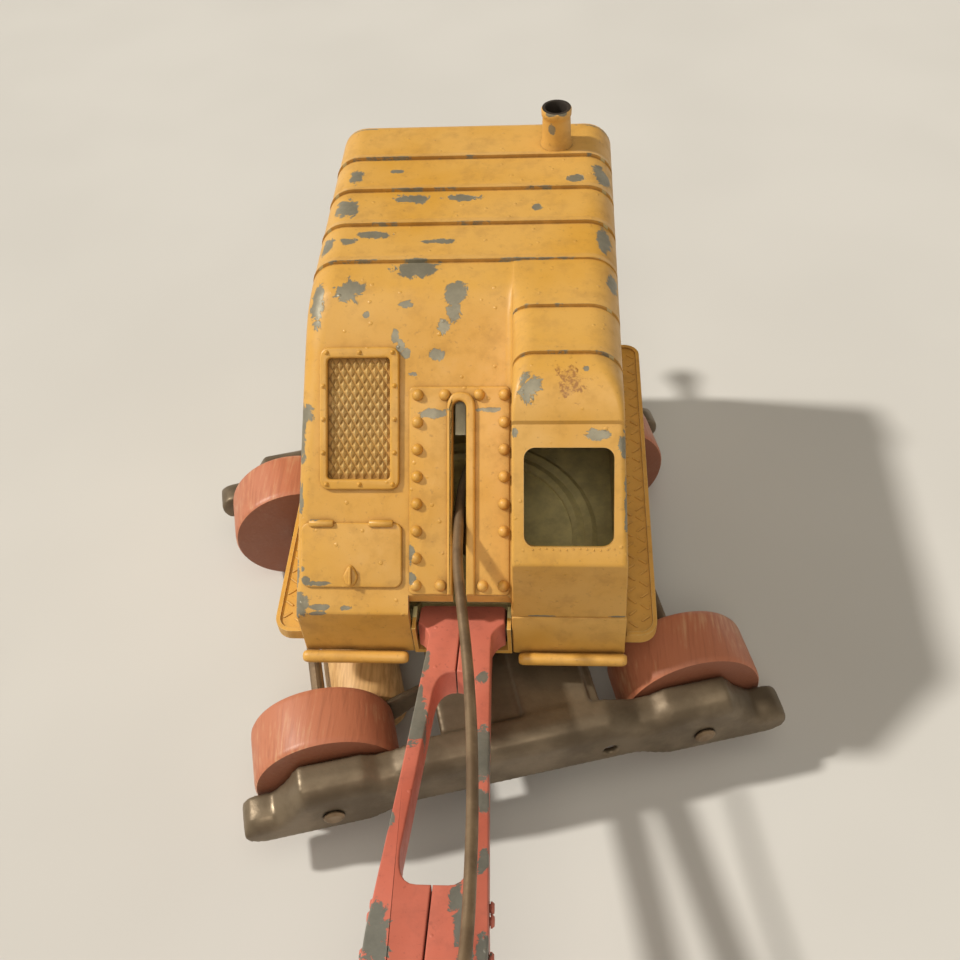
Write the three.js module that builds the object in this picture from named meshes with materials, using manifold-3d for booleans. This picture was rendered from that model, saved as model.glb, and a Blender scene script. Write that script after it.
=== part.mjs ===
// Die-cast toy power shovel (front-shovel excavator) on a wheeled undercarriage.
// Millimetres, +Z up, boom towards -Y, X to the right of somebody facing the cab.
// While it is being built, X = 0 and Y = 0 are the middle and the front wall of the house, and
// Z = 0 is the ground; at the end the whole group is moved so that its box stands on the origin.
import * as THREE from 'three';
import { mergeVertices } from 'three/addons/utils/BufferGeometryUtils.js';
import Module from 'manifold-3d';

const wasm = await Module();
wasm.setup();

// ---------------------------------------------------------------- driving dimensions
const GAP = 0.3; // clearance between neighbouring pieces
const RAD = Math.PI / 180;

// undercarriage, in its own frame: x along the side frames, y along the axles
const CHASSIS_YAW = 0.255; // how far the undercarriage is turned under the house
const SWING_Y = 37.6; // king pin behind the front wall
const WHEEL = { radius: 20.8, inner: 36.4, width: 18.1, reach: 53.3 };
const AXLE_RADIUS = 2;
const FRAME = { inner: 55.4, outer: 65.2, wall: 2.4, round: 5, nose: 5.2, noseX: 73.3, noseZ: 18.8 };
const BRIDGE = { left: -20.2, right: 25, top: 34, under: 24, platform: 29, platformTop: 37 };
const ROLLER = { radius: 11.6, x: -39.8, z: 13.2, halfLength: 33 };
const ROLLER_PIN = 1.5;
const SPARE_HOLE = { x: 25.6, z: 23.4 };
const KING_RADIUS = 4;
const KING_HEAD = { over: 2.6, thick: 3.1 };
const KING_CAP = { over: 3.6, height: 4.6, lid: 1 };
const WASHER_RADIUS = 22;
// humps of a side frame above its nose: over each axle, the saddle between them, the middle
const HUMP = { height: 10.6, end: 67.5, run: 6.5, saddle: 2, saddleEnd: 44, middle: 3.2, middleEnd: 34 };
const ARCH = { height: 4.9, end: 44, run: 12 }; // shallow arch under the middle of a side frame

// house (upper works)
const HALF_WIDTH = 44.85;
const DRAFT = 0.04; // how fast the side walls lean in
const WALL = 2.2;
const SKIRT_Z = 43.9; // foot of the front wall
const BELT_Z = 61.84; // foot of the sloping hood
const HOOD_SLOPE = 41.5 * RAD;
const ROOF_Z = 120.1;
const LIP = { rise: 0.9, run: 2.2 }; // raised front edge of each roof panel, and how far back it fades
const PANEL_PITCH = 16.9;
const FIRST_STEP_Y = 77.5;
const HOUSE_LENGTH = 149;
const SHOULDER = 8.5; // radius along the roof
const BROW = 2.5; // radius along the foot of the hood
const NOTCH_HALF = 13.9;
const NOTCH_TOP = 65.4;
const CAB = { left: 14.3, sillZ: 84, glassSlope: 46 * RAD, glassLength: 35.6, edge: 5.5 };
const WINDOW = { x: 29.1, width: 22.7, from: 4.7, height: 25.2, corner: 2.6 };
const PLATE = { half: 13.6, from: 5.4, to: 61.3, rise: 0.8 };
const SLOT = { half: 1.85, top: 57.4, rimHalf: 3.6, rimRise: 1.3 };
const GRILLE = { x: -27.3, width: 21.6, from: 33.6, to: 71.9, border: 2.4 };
const DOOR = { x: -29.2, width: 27.6, from: 7.3, to: 24.6 };
const DECK = { top: 48.4, bottom: 45.4, half: 53.9, front: 2.6, rear: 122, corner: 5, rim: 1.2 };
const STACK = { x: 25.7, y: 135.4, radius: 4.5, height: 13.2 };
const STEP_BAR = { radius: 1.8, y: -2.2, z: 43.9, outer: 45.4, inner: 15.4 };

// boom, in its own frame: the foot pin is the origin and the boom runs along -y
const BOOM_RISE = 15 * RAD;
const FOOT = { y: 3.5, z: 50.4 };
const BOOM = { above: 4.5, below: 3.5, head: 12, heel: 4.2, neck: 8.6, wide: 12.6, length: 186, tip: 8 };
const BOOM_PIN_RADIUS = 2.2;
const OPENING = { from: 21.9, to: 85.9, nearHalf: 4.9, farHalf: 7.8 };
const DIPPER_SLOT = { from: 118, to: 172, half: 3.3 };
const PIVOT_S = 147; // dipper pivot along the boom
const PIVOT_PIN = 2;
const SHEAVE = { s: 186, radius: 9.5, width: 3.6, pin: 1.6 };

// dipper stick, bucket and linkage
const STICK = { thick: 4.4, reach: 56, lean: 25 * RAD, width: 8 };
const STUD = { radius: 13.5, angle: 10 * RAD, pin: 1.6, bush: 0.9 };
const BUCKET = { half: 15, depth: 24, height: 26, wall: 1.8 };
const ROD_RADIUS = 1.35;
const ROD_X = STICK.thick / 2 + 1.2 + ROD_RADIUS; // the rod eye sits beside the stick
const CRANK = { y: 62, z: 97, thick: 2.4, drop: 26, handle: 104, dip: 8.5 * RAD, pin: 2, lug: 5 };
const LEVER_SLOT = { low: 52, high: 114, half: 2.6 };
const LUG_THICK = 2.4; // lugs inside the roof that carry the crank pin
const POST = { radius: 3.4, height: 14, depth: 9 }; // screw posts inside the house
const RACE = { inner: 30.6, outer: 38, low: 1.2, high: 2.2 }; // raised ring round the king pin
const SCREWS = [[-36, 10], [36, 12], [-36, 116], [36, 116]];
const SCREW_RADIUS = 1.3;
const DOOR_PIN = 1.2;
const BOLT = { radius: 1.3, z: -STICK.reach + 4.7 }; // holds the bucket on the stick
const KNOB_RADIUS = 5;

const ROUND = 16; // facets of small round pieces
const WHEEL_FACETS = 36;

// ---------------------------------------------------------------- materials
const paint = (color, roughness, metalness) =>
  new THREE.MeshStandardMaterial({ color, roughness, metalness });
const YELLOW = paint(0xd89b3c, 0.45, 0.1);
const RED = paint(0xc24a3c, 0.5, 0.05);
const CASTING = paint(0x6f6650, 0.4, 0.7);
const ZINC = paint(0x8d8a7c, 0.45, 0.7);
const STEEL = paint(0x6f5e49, 0.45, 0.8);
const RED_WOOD = paint(0xb9604a, 0.7, 0);
const WOOD = paint(0xb98d52, 0.75, 0);

// ---------------------------------------------------------------- solids
// A closed three.js geometry as a solid that can be joined and cut.
function solid(geometry) {
  const bare = geometry.clone();
  bare.deleteAttribute('normal');
  bare.deleteAttribute('uv');
  const welded = mergeVertices(bare, 1e-4);
  return new wasm.Manifold(new wasm.Mesh({
    numProp: 3,
    vertProperties: new Float32Array(welded.attributes.position.array),
    triVerts: new Uint32Array(welded.index.array),
  }));
}

function geometryOf(body) {
  const mesh = body.getMesh();
  const geometry = new THREE.BufferGeometry();
  geometry.setAttribute('position', new THREE.BufferAttribute(mesh.vertProperties, 3));
  geometry.setIndex(new THREE.BufferAttribute(mesh.triVerts, 1));
  geometry.computeVertexNormals();
  return geometry;
}

function piece(name, body, material) {
  const geometry = body.isBufferGeometry ? body : geometryOf(body);
  const mesh = new THREE.Mesh(geometry, material);
  mesh.name = name;
  return mesh;
}

function place(object, x, y, z) {
  object.position.set(x, y, z);
  return object;
}

const X = new THREE.Vector3(1, 0, 0);
const Y = new THREE.Vector3(0, 1, 0);
const Z = new THREE.Vector3(0, 0, 1);
const toward = (y, z) => new THREE.Vector3(0, y, z);
// outlines drawn in a plane and pushed out along the third direction of that plane
const SIDE_VIEW = new THREE.Matrix4().makeBasis(Y, Z, X); // (y, z) pushed along +x
const FRONT_VIEW = new THREE.Matrix4().makeBasis(X, Z, Y.clone().negate()); // (x, z) along -y

// A plane that rises from the front wall: (x, distance up the slope), pushed outwards.
function slopePlane(z, slope) {
  const up = toward(Math.cos(slope), Math.sin(slope));
  const out = toward(-Math.sin(slope), Math.cos(slope));
  return new THREE.Matrix4().makeBasis(X, up, out).setPosition(0, 0, z);
}
const HOOD_PLANE = slopePlane(BELT_Z, HOOD_SLOPE);
const GLASS_PLANE = slopePlane(CAB.sillZ, CAB.glassSlope);

function box(x0, x1, y0, y1, z0, z1) {
  const geometry = new THREE.BoxGeometry(x1 - x0, y1 - y0, z1 - z0);
  return geometry.translate((x0 + x1) / 2, (y0 + y1) / 2, (z0 + z1) / 2);
}

// A round bar along x, y or z between two stations.
function bar(axis, radius, from, to, facets = ROUND) {
  const geometry = new THREE.CylinderGeometry(radius, radius, to - from, facets);
  geometry.translate(0, (from + to) / 2, 0);
  if (axis === 'x') geometry.rotateZ(-Math.PI / 2);
  if (axis === 'z') geometry.rotateX(Math.PI / 2);
  return geometry;
}

function outline(points) {
  return new THREE.Shape(points.map(([x, y]) => new THREE.Vector2(x, y)));
}

function roundedRectangle(x0, x1, y0, y1, radius) {
  const shape = new THREE.Shape();
  shape.moveTo(x0 + radius, y0);
  shape.lineTo(x1 - radius, y0);
  shape.absarc(x1 - radius, y0 + radius, radius, -Math.PI / 2, 0);
  shape.lineTo(x1, y1 - radius);
  shape.absarc(x1 - radius, y1 - radius, radius, 0, Math.PI / 2);
  shape.lineTo(x0 + radius, y1);
  shape.absarc(x0 + radius, y1 - radius, radius, Math.PI / 2, Math.PI);
  shape.lineTo(x0, y0 + radius);
  shape.absarc(x0 + radius, y0 + radius, radius, Math.PI, 1.5 * Math.PI);
  return shape;
}

// A shape pushed out of its plane between two heights.
function slab(shape, from, to, plane = null, curveSegments = 5) {
  const geometry = new THREE.ExtrudeGeometry(shape, {
    depth: to - from, bevelEnabled: false, curveSegments, steps: 1,
  });
  geometry.translate(0, 0, from);
  if (plane) geometry.applyMatrix4(plane);
  return geometry;
}

// A skin through rings of equal length, closed by a fan at each end.
function loft(rings) {
  const count = rings[0].length;
  const positions = rings.flat().flat();
  const index = [];
  for (let r = 0; r + 1 < rings.length; r += 1) {
    for (let i = 0; i < count; i += 1) {
      const a = r * count + i;
      const b = r * count + (i + 1) % count;
      index.push(a, b, b + count, a, b + count, a + count);
    }
  }
  const last = (rings.length - 1) * count;
  for (let i = 1; i + 1 < count; i += 1) {
    index.push(0, i + 1, i);
    index.push(last, last + i, last + i + 1);
  }
  const geometry = new THREE.BufferGeometry();
  geometry.setAttribute('position', new THREE.Float32BufferAttribute(positions, 3));
  geometry.setIndex(index);
  return geometry;
}

const tube = (points, radius, steps) => new THREE.ExtrudeGeometry(
  new THREE.Shape().absarc(0, 0, radius, 0, 2 * Math.PI),
  { steps, curveSegments: 5, bevelEnabled: false, extrudePath: new THREE.CatmullRomCurve3(points) },
);

// ---------------------------------------------------------------- undercarriage
const blend = (t) => {
  const c = Math.min(1, Math.max(0, t));
  return c * c * (3 - 2 * c);
};

// top and bottom edge of a side frame: low round noses, humps over the axles, a shallow arch
function frameEdges(x) {
  const { nose, noseX, noseZ } = FRAME;
  const a = Math.abs(x);
  const half = Math.sqrt(nose ** 2 - Math.max(0, a - noseX) ** 2);
  const hump = HUMP.height * blend((HUMP.end - a) / HUMP.run)
    - HUMP.saddle * blend((HUMP.saddleEnd - a) / 6)
    + HUMP.middle * blend((HUMP.middleEnd - a) / 8);
  const arch = ARCH.height * blend((ARCH.end - a) / ARCH.run);
  return { top: noseZ + half + hump, sole: noseZ - half + arch };
}

function frameStations() {
  const { nose, noseX } = FRAME;
  const half = [];
  const straight = 17;
  for (let i = 1; i <= straight; i += 1) half.push((i / straight) * noseX);
  for (const turn of [25, 50, 75]) half.push(noseX + nose * Math.sin(turn * RAD));
  return [...half.map((x) => -x).reverse(), 0, ...half];
}

// one side frame: a channel, open below, whose outer top edge is rounded
function sideFrame() {
  const { inner, outer, wall, round } = FRAME;
  const arcSteps = 3;
  const skin = frameStations().map((x) => {
    const { top, sole } = frameEdges(x);
    const fall = Math.min(round, (top - sole) * 0.45);
    const ring = [[x, -inner, sole], [x, -inner, top]];
    for (let i = 0; i <= arcSteps; i += 1) {
      const turn = (i / arcSteps) * Math.PI / 2;
      ring.push([x, -outer + round * (1 - Math.sin(turn)), top - fall * (1 - Math.cos(turn))]);
    }
    return [...ring, [x, -outer, sole]];
  });
  const channel = frameStations().filter((x) => Math.abs(x) < FRAME.noseX - 2).map((x) => {
    const { top } = frameEdges(x);
    const roof = top - wall - 1.4;
    const low = FRAME.noseZ - FRAME.nose - 1;
    return [[x, -inner - wall, low], [x, -inner - wall, roof], [x, -outer + wall, roof - 1.2],
      [x, -outer + wall, low]];
  });
  let body = solid(loft(skin)).subtract(solid(loft(channel)));
  for (const x of [-WHEEL.reach, WHEEL.reach]) {
    const hole = bar('y', AXLE_RADIUS + GAP, -outer - 1, -inner + 1);
    body = body.subtract(solid(hole.translate(x, 0, WHEEL.radius)));
  }
  const spare = bar('y', AXLE_RADIUS, -outer - 1, -outer + wall + 1);
  return body.subtract(solid(spare.translate(SPARE_HOLE.x, 0, SPARE_HOLE.z)));
}

function chassisCasting() {
  const { left, right, top, under, platform, platformTop } = BRIDGE;
  const arm = FRAME.inner + 1;
  const wall = 3;
  let body = solid(box(left, right, -arm, arm, under, top));
  body = body.add(solid(bar('z', platform, under, platformTop, WHEEL_FACETS)));
  body = body.add(solid(box(left + 23, right - 3, -arm + 1, arm - 1, top - 1, top + 1.5)));
  for (const side of [-1, 1]) {
    // open space under each arm, so that the casting is a shell
    const from = side > 0 ? platform - 2 : -FRAME.inner + wall;
    const to = side > 0 ? FRAME.inner - wall : -platform + 2;
    body = body.subtract(solid(box(left + wall, right - wall, from, to, under - 1, top - wall)));
  }
  body = body.subtract(solid(bar('z', platform - wall, under - 1, platformTop - wall, WHEEL_FACETS)));
  body = body.add(solid(bar('z', KING_RADIUS + 4, under, platformTop - 1)));
  body = body.subtract(solid(bar('z', KING_RADIUS + GAP, under - 1, platformTop + 1)));
  const frame = sideFrame();
  body = body.add(frame).add(frame.rotate([0, 0, 180]));
  // two hangers carry the pin of the wooden roller
  const hanger = outline([
    [left + 2, top - 4], [left + 2, under], [ROLLER.x + 4, ROLLER.z - 4],
    [ROLLER.x - 4, ROLLER.z - 4], [ROLLER.x - 4, ROLLER.z + 4],
  ]);
  for (const near of [ROLLER.halfLength + GAP, -ROLLER.halfLength - GAP - 2]) {
    body = body.add(solid(slab(hanger, near, near + 2, FRONT_VIEW, 1)));
  }
  const pinHole = bar('y', ROLLER_PIN + GAP, -FRAME.inner + 1, FRAME.inner - 1);
  return piece('chassis_casting', body.subtract(solid(pinHole.translate(ROLLER.x, 0, ROLLER.z))),
    CASTING);
}

// A pin along y with a domed head at each end.
function headedPin(radius, half, head, thick) {
  const points = [
    [0, -half - thick], [head * 0.7, -half - thick], [head, -half - thick * 0.4], [head, -half],
    [radius, -half], [radius, half], [head, half], [head, half + thick * 0.4],
    [head * 0.7, half + thick], [0, half + thick],
  ];
  return new THREE.LatheGeometry(points.map(([x, y]) => new THREE.Vector2(x, y)), ROUND);
}

function wheelGeometry() {
  const { radius, width } = WHEEL;
  const bore = AXLE_RADIUS + GAP;
  const edge = 1.2;
  const half = width / 2;
  const points = [
    [bore, -half], [radius - edge, -half], [radius, -half + edge], [radius, half - edge],
    [radius - edge, half], [bore, half], [bore, -half],
  ];
  // the lathe starts half a facet round, so that a flat facet is at the bottom
  const lathe = new THREE.LatheGeometry(points.map(([x, y]) => new THREE.Vector2(x, y)),
    WHEEL_FACETS, Math.PI / WHEEL_FACETS);
  return lathe;
}

function rollerGeometry() {
  const { radius, halfLength } = ROLLER;
  const bore = ROLLER_PIN + GAP;
  const points = [
    [bore, -halfLength], [radius - 0.8, -halfLength], [radius, -halfLength + 0.8],
    [radius, halfLength - 0.8], [radius - 0.8, halfLength], [bore, halfLength],
    [bore, -halfLength],
  ];
  return new THREE.LatheGeometry(points.map(([x, y]) => new THREE.Vector2(x, y)), 24);
}

function undercarriage() {
  const group = new THREE.Group();
  group.add(chassisCasting());
  for (const [end, x] of [['left', -WHEEL.reach], ['right', WHEEL.reach]]) {
    const pin = headedPin(AXLE_RADIUS, FRAME.outer + GAP, AXLE_RADIUS + 1, 0.9);
    group.add(place(piece(`axle_${end}`, pin, STEEL), x, 0, WHEEL.radius));
    for (const [row, side] of [['front', -1], ['rear', 1]]) {
      const wheel = piece(`wheel_${row}_${end}`, wheelGeometry(), RED_WOOD);
      group.add(place(wheel, x, side * (WHEEL.inner + WHEEL.width / 2), WHEEL.radius));
    }
  }
  const pinEnd = ROLLER.halfLength + 2.6;
  const rollerPin = bar('y', ROLLER_PIN, -pinEnd, pinEnd);
  group.add(place(piece('roller_pin', rollerPin, STEEL), ROLLER.x, 0, ROLLER.z));
  group.add(place(piece('idler_roller', rollerGeometry(), WOOD), ROLLER.x, 0, ROLLER.z));
  // thrust washer between the two castings, and the king pin that holds them together
  const washer = [
    [KING_RADIUS + GAP, BRIDGE.platformTop + GAP], [WASHER_RADIUS, BRIDGE.platformTop + GAP],
    [WASHER_RADIUS, DECK.bottom - GAP], [KING_RADIUS + GAP, DECK.bottom - GAP],
    [KING_RADIUS + GAP, BRIDGE.platformTop + GAP],
  ];
  const ring = new THREE.LatheGeometry(washer.map(([x, y]) => new THREE.Vector2(x, y)), 32);
  group.add(piece('swing_washer', ring.rotateX(Math.PI / 2), STEEL));
  const headTop = BRIDGE.under - GAP;
  const capBase = DECK.top + GAP;
  const pinTop = capBase + KING_CAP.height - KING_CAP.lid - 2 * GAP;
  const kingPin = solid(bar('z', KING_RADIUS, headTop - 1, pinTop))
    .add(solid(bar('z', KING_RADIUS + KING_HEAD.over, headTop - KING_HEAD.thick, headTop)));
  group.add(piece('king_pin', kingPin, STEEL));
  const cap = solid(bar('z', KING_RADIUS + KING_CAP.over, capBase, capBase + KING_CAP.height))
    .subtract(solid(bar('z', KING_RADIUS + GAP, capBase - 1, pinTop + GAP)));
  group.add(piece('king_pin_cap', cap, STEEL));
  group.rotation.z = CHASSIS_YAW;
  return place(group, 0, SWING_Y, 0);
}

// ---------------------------------------------------------------- house shell
const halfWidthAt = (z) => HALF_WIDTH - DRAFT * Math.max(0, z - BELT_Z);
const softMin = (a, b, reach) => (a + b - Math.hypot(a - b, reach)) / 2;

const STEP_COUNT = 4;
// height of the top skin at a distance behind the front wall
function roofline(y, lift, inset) {
  const hood = BELT_Z + y * Math.tan(HOOD_SLOPE) - inset / Math.cos(HOOD_SLOPE);
  return softMin(hood, ROOF_Z + lift - inset, 4);
}

function crossSection(y, top, footZ, inset) {
  const high = Math.min(1, (top - BELT_Z) / (ROOF_Z - BELT_Z));
  const radius = Math.max(1.2, BROW + (SHOULDER - BROW) * high ** 2 - inset);
  const spring = top - radius;
  const ring = [[-halfWidthAt(footZ) + inset, y, footZ]];
  const arcSteps = 6;
  const edge = halfWidthAt(spring) - inset;
  for (let i = 0; i <= arcSteps; i += 1) {
    const turn = (i / arcSteps) * Math.PI / 2;
    ring.push([-edge + radius * (1 - Math.cos(turn)), y, spring + radius * Math.sin(turn)]);
  }
  const mirrored = ring.map(([x, yy, z]) => [-x, yy, z]).reverse();
  return [...ring, ...mirrored];
}

function houseHull(inset, footZ) {
  const stations = [];
  const front = inset;
  for (const y of [front, 8, 20, 34, 48, 56, 60, 63, 66, 69, 72]) stations.push([y, 0]);
  for (let i = 0; i < STEP_COUNT; i += 1) {
    const y = FIRST_STEP_Y + i * PANEL_PITCH;
    stations.push([y - 0.35, 0], [y + 0.35, LIP.rise], [y + LIP.run, 0]);
  }
  const rear = HOUSE_LENGTH - inset;
  stations.push([rear - 3.4, 0]);
  const rings = stations.map(([y, lift]) => crossSection(y, roofline(y, lift, inset), footZ, inset));
  const crown = roofline(rear, 0, inset);
  rings.push(crossSection(rear - 1.2, crown - 1, footZ, inset));
  rings.push(crossSection(rear, crown - 3.4, footZ, inset));
  return loft(rings);
}

// side outline of the cab: sill, sloping windscreen, brow, and roof panels
function cabOutline(inset) {
  const { sillZ, glassSlope, glassLength } = CAB;
  const brow = [glassLength * Math.cos(glassSlope), sillZ + glassLength * Math.sin(glassSlope)];
  const lip = 0.8 - inset * 0.2;
  const slopeInset = [inset * Math.sin(glassSlope), -inset * Math.cos(glassSlope)];
  const shape = new THREE.Shape();
  const sill = sillZ + inset * (Math.tan(glassSlope) - 1 / Math.cos(glassSlope));
  shape.moveTo(inset, BELT_Z - 6);
  shape.lineTo(inset, sill);
  shape.lineTo(brow[0] + slopeInset[0], brow[1] + slopeInset[1]);
  shape.lineTo(brow[0] - lip * 0.6 + slopeInset[0], brow[1] + lip * 0.8 + slopeInset[1]);
  shape.quadraticCurveTo(31 + inset * 0.6, ROOF_Z - 1.2 - inset, 40.2, ROOF_Z - 0.9 - inset);
  shape.lineTo(40.8, ROOF_Z - 0.2 - inset);
  shape.lineTo(47, ROOF_Z - 0.7 - inset);
  shape.lineTo(57.9, ROOF_Z - 0.5 - inset);
  shape.lineTo(58.6, ROOF_Z + 0.3 - inset);
  shape.lineTo(64.6, ROOF_Z - inset);
  shape.lineTo(FIRST_STEP_Y, ROOF_Z - inset);
  shape.lineTo(FIRST_STEP_Y, ROOF_Z - 16);
  shape.lineTo(inset + 4, BELT_Z - 6);
  return shape;
}

// front view of the cab tunnel, which rounds its two upper edges
function cabTunnel(inset) {
  const top = ROOF_Z + 1 - inset;
  const left = CAB.left + inset;
  const right = halfWidthAt(top - SHOULDER) - inset;
  const shape = new THREE.Shape();
  shape.moveTo(left, SKIRT_Z);
  shape.lineTo(halfWidthAt(SKIRT_Z) - inset, SKIRT_Z);
  shape.lineTo(halfWidthAt(BELT_Z) - inset, BELT_Z);
  shape.lineTo(right, top - SHOULDER + inset);
  shape.absarc(right - SHOULDER + inset, top - SHOULDER + inset, SHOULDER - inset, 0, Math.PI / 2);
  shape.lineTo(left + CAB.edge, top);
  shape.absarc(left + CAB.edge, top - CAB.edge, CAB.edge, Math.PI / 2, Math.PI);
  return shape;
}

function cabBody(inset) {
  const profile = slab(cabOutline(inset), CAB.left + inset, HALF_WIDTH + 1, SIDE_VIEW, 6);
  const tunnel = slab(cabTunnel(inset), -FIRST_STEP_Y, 1, FRONT_VIEW, 6);
  return solid(profile).intersect(solid(tunnel));
}

const onHood = (shape, from, to) => solid(slab(shape, from, to, HOOD_PLANE, 5));

function slotShape(half, top) {
  const shape = new THREE.Shape();
  shape.moveTo(-half, PLATE.from - 2);
  shape.lineTo(half, PLATE.from - 2);
  shape.lineTo(half, top - half);
  shape.absarc(0, top - half, half, 0, Math.PI);
  return shape;
}

function rectangleOnHood(feature, margin, corner) {
  const half = feature.width / 2 - margin;
  return roundedRectangle(feature.x - half, feature.x + half, feature.from + margin,
    feature.to - margin, corner);
}

function houseShell() {
  const deep = -1.2;
  let body = solid(houseHull(0, SKIRT_Z)).add(cabBody(0));
  // raised panels of the hood: riveted slot plate, grille frame, and service door
  const plate = roundedRectangle(-PLATE.half, PLATE.half, PLATE.from, PLATE.to, 1.2);
  body = body.add(onHood(plate, deep, PLATE.rise));
  body = body.add(onHood(slotShape(SLOT.rimHalf, SLOT.top + 1.9), deep, SLOT.rimRise));
  body = body.add(onHood(rectangleOnHood(GRILLE, 0, 1.6), deep, 0.9));
  body = body.subtract(onHood(rectangleOnHood(GRILLE, GRILLE.border, 0.8), -0.7, 3));
  body = body.add(onHood(rectangleOnHood(DOOR, 0, 1.6), deep, 0.6));
  // hollow inside, open below
  const hollow = solid(houseHull(WALL, SKIRT_Z - 1)).add(cabBody(WALL));
  body = body.subtract(hollow);
  // the walls behind the front skirt stand on the deck
  const deckSpace = box(-60, 60, WALL + 0.05, HOUSE_LENGTH + 1, SKIRT_Z - 2, DECK.top + GAP);
  body = body.subtract(solid(deckSpace));
  // cab window, control slot, boom notch, and the slot for the lever in the rear wall
  const { x, width, from, height, corner } = WINDOW;
  const glass = roundedRectangle(x - width / 2, x + width / 2, from, from + height, corner);
  body = body.subtract(solid(slab(glass, -6, 4, GLASS_PLANE, 4)));
  body = body.subtract(onHood(slotShape(SLOT.half, SLOT.top), -8, 4));
  const notch = box(-NOTCH_HALF, NOTCH_HALF, -2, 3.9, SKIRT_Z - 2, NOTCH_TOP);
  body = body.subtract(solid(notch));
  const back = HOUSE_LENGTH;
  const leverSlot = box(-LEVER_SLOT.half, LEVER_SLOT.half, back - WALL - 2, back + 2,
    LEVER_SLOT.low, LEVER_SLOT.high);
  body = body.subtract(solid(leverSlot));
  // screw posts inside the corners, each with a rib to the side wall
  const postTop = DECK.top + POST.height;
  for (const [px, py] of SCREWS) {
    const wallX = Math.sign(px) * (HALF_WIDTH - 1.4);
    const rib = box(Math.min(px, wallX), Math.max(px, wallX), py - 1, py + 1,
      DECK.top + GAP, postTop);
    const post = bar('z', POST.radius, DECK.top + GAP, postTop, 12).translate(px, py, 0);
    const hole = bar('z', SCREW_RADIUS + GAP, DECK.top - 1, DECK.top + POST.depth, 12)
      .translate(px, py, 0);
    body = body.add(solid(post)).add(solid(rib)).subtract(solid(hole));
  }
  // two lugs under the top of the hood carry the pin of the crank
  const lug = outline([
    [CRANK.y - 4, CRANK.z - 4], [CRANK.y + 4, CRANK.z - 4],
    [CRANK.y + 7, ROOF_Z - 3], [CRANK.y - 1, ROOF_Z - 7.2],
  ]);
  for (const x0 of [CRANK.lug, -CRANK.lug - LUG_THICK]) {
    body = body.add(solid(slab(lug, x0, x0 + LUG_THICK, SIDE_VIEW, 1)));
  }
  const bearing = bar('x', CRANK.pin + GAP, -CRANK.lug - 4, CRANK.lug + 4);
  return piece('house_shell', body.subtract(solid(bearing.translate(0, CRANK.y, CRANK.z))), YELLOW);
}

function basePlate() {
  const { top, bottom, half, front, rear, corner, rim } = DECK;
  const walk = roundedRectangle(-half, half, front, rear, corner);
  let body = solid(slab(walk, bottom, top, null, 4));
  const tail = box(-HALF_WIDTH + 1, HALF_WIDTH - 1, rear - 6, HOUSE_LENGTH - 0.6, bottom, top);
  body = body.add(solid(tail));
  // kerb round both walkways
  const kerb = walk.clone();
  kerb.holes = [roundedRectangle(-half + rim, half - rim, front + rim, rear - rim, corner - rim)];
  let rail = solid(slab(kerb, top - 1, top + 0.7, null, 4));
  rail = rail.subtract(solid(box(-HALF_WIDTH - 0.5, HALF_WIDTH + 0.5, 0, HOUSE_LENGTH, top, top + 3)));
  body = body.add(rail);
  // raised race round the king pin, open at the front where the skirt stands
  const groove = (RACE.inner + RACE.outer) / 2;
  const race = [
    [RACE.inner, top - 1], [RACE.outer, top - 1], [RACE.outer, top + RACE.low],
    [groove + 2.2, top + RACE.high], [groove, top + RACE.low], [groove - 2.2, top + RACE.high],
    [RACE.inner, top + RACE.low], [RACE.inner, top - 1],
  ];
  const raceRing = new THREE.LatheGeometry(race.map(([x, z]) => new THREE.Vector2(x, z)), 40);
  raceRing.rotateX(Math.PI / 2).translate(0, SWING_Y, 0);
  body = body.add(solid(raceRing).subtract(solid(box(-half, half, -5, front, bottom, top + 5))));
  // room for the heel of the boom, then a clevis beside it and a sill under it
  const cheekIn = BOOM.head + 0.5;
  const cheekOut = NOTCH_HALF - GAP;
  body = body.subtract(solid(box(-cheekIn, cheekIn, 0, 13, bottom - 1, top + 5)));
  const low = SKIRT_Z + 0.2;
  const cheek = outline([
    [-0.6, low], [14, bottom], [14, top], [FOOT.y + 3.4, FOOT.z + 5.4], [-0.6, FOOT.z + 5.4],
  ]);
  for (const x0 of [cheekIn, -cheekOut]) {
    body = body.add(solid(slab(cheek, x0, x0 + cheekOut - cheekIn, SIDE_VIEW, 1)));
  }
  body = body.add(solid(box(-cheekOut, cheekOut, -0.6, 2.4, low, low + 1.4)));
  const pinHole = bar('x', BOOM_PIN_RADIUS + GAP, -20, 20).translate(0, FOOT.y, FOOT.z);
  body = body.subtract(solid(pinHole));
  const kingHole = bar('z', KING_RADIUS + GAP, bottom - 1, top + 5).translate(0, SWING_Y, 0);
  body = body.subtract(solid(kingHole));
  for (const [px, py] of SCREWS) {
    const hole = bar('z', SCREW_RADIUS + GAP, bottom - 1, top + 1, 12);
    body = body.subtract(solid(hole.translate(px, py, 0)));
  }
  return piece('base_plate', body, YELLOW);
}

function exhaustStack() {
  const { x, y, radius, height } = STACK;
  const seat = roofline(y, 0, 0) + GAP;
  let body = solid(bar('z', radius, seat, seat + height, 24));
  body = body.add(solid(bar('z', radius + 0.5, seat + height - 1.6, seat + height, 24)));
  body = body.subtract(solid(bar('z', radius - 1.5, seat + 2, seat + height + 1, 24)));
  return place(piece('exhaust_stack', body, YELLOW), x, y, 0);
}

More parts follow.
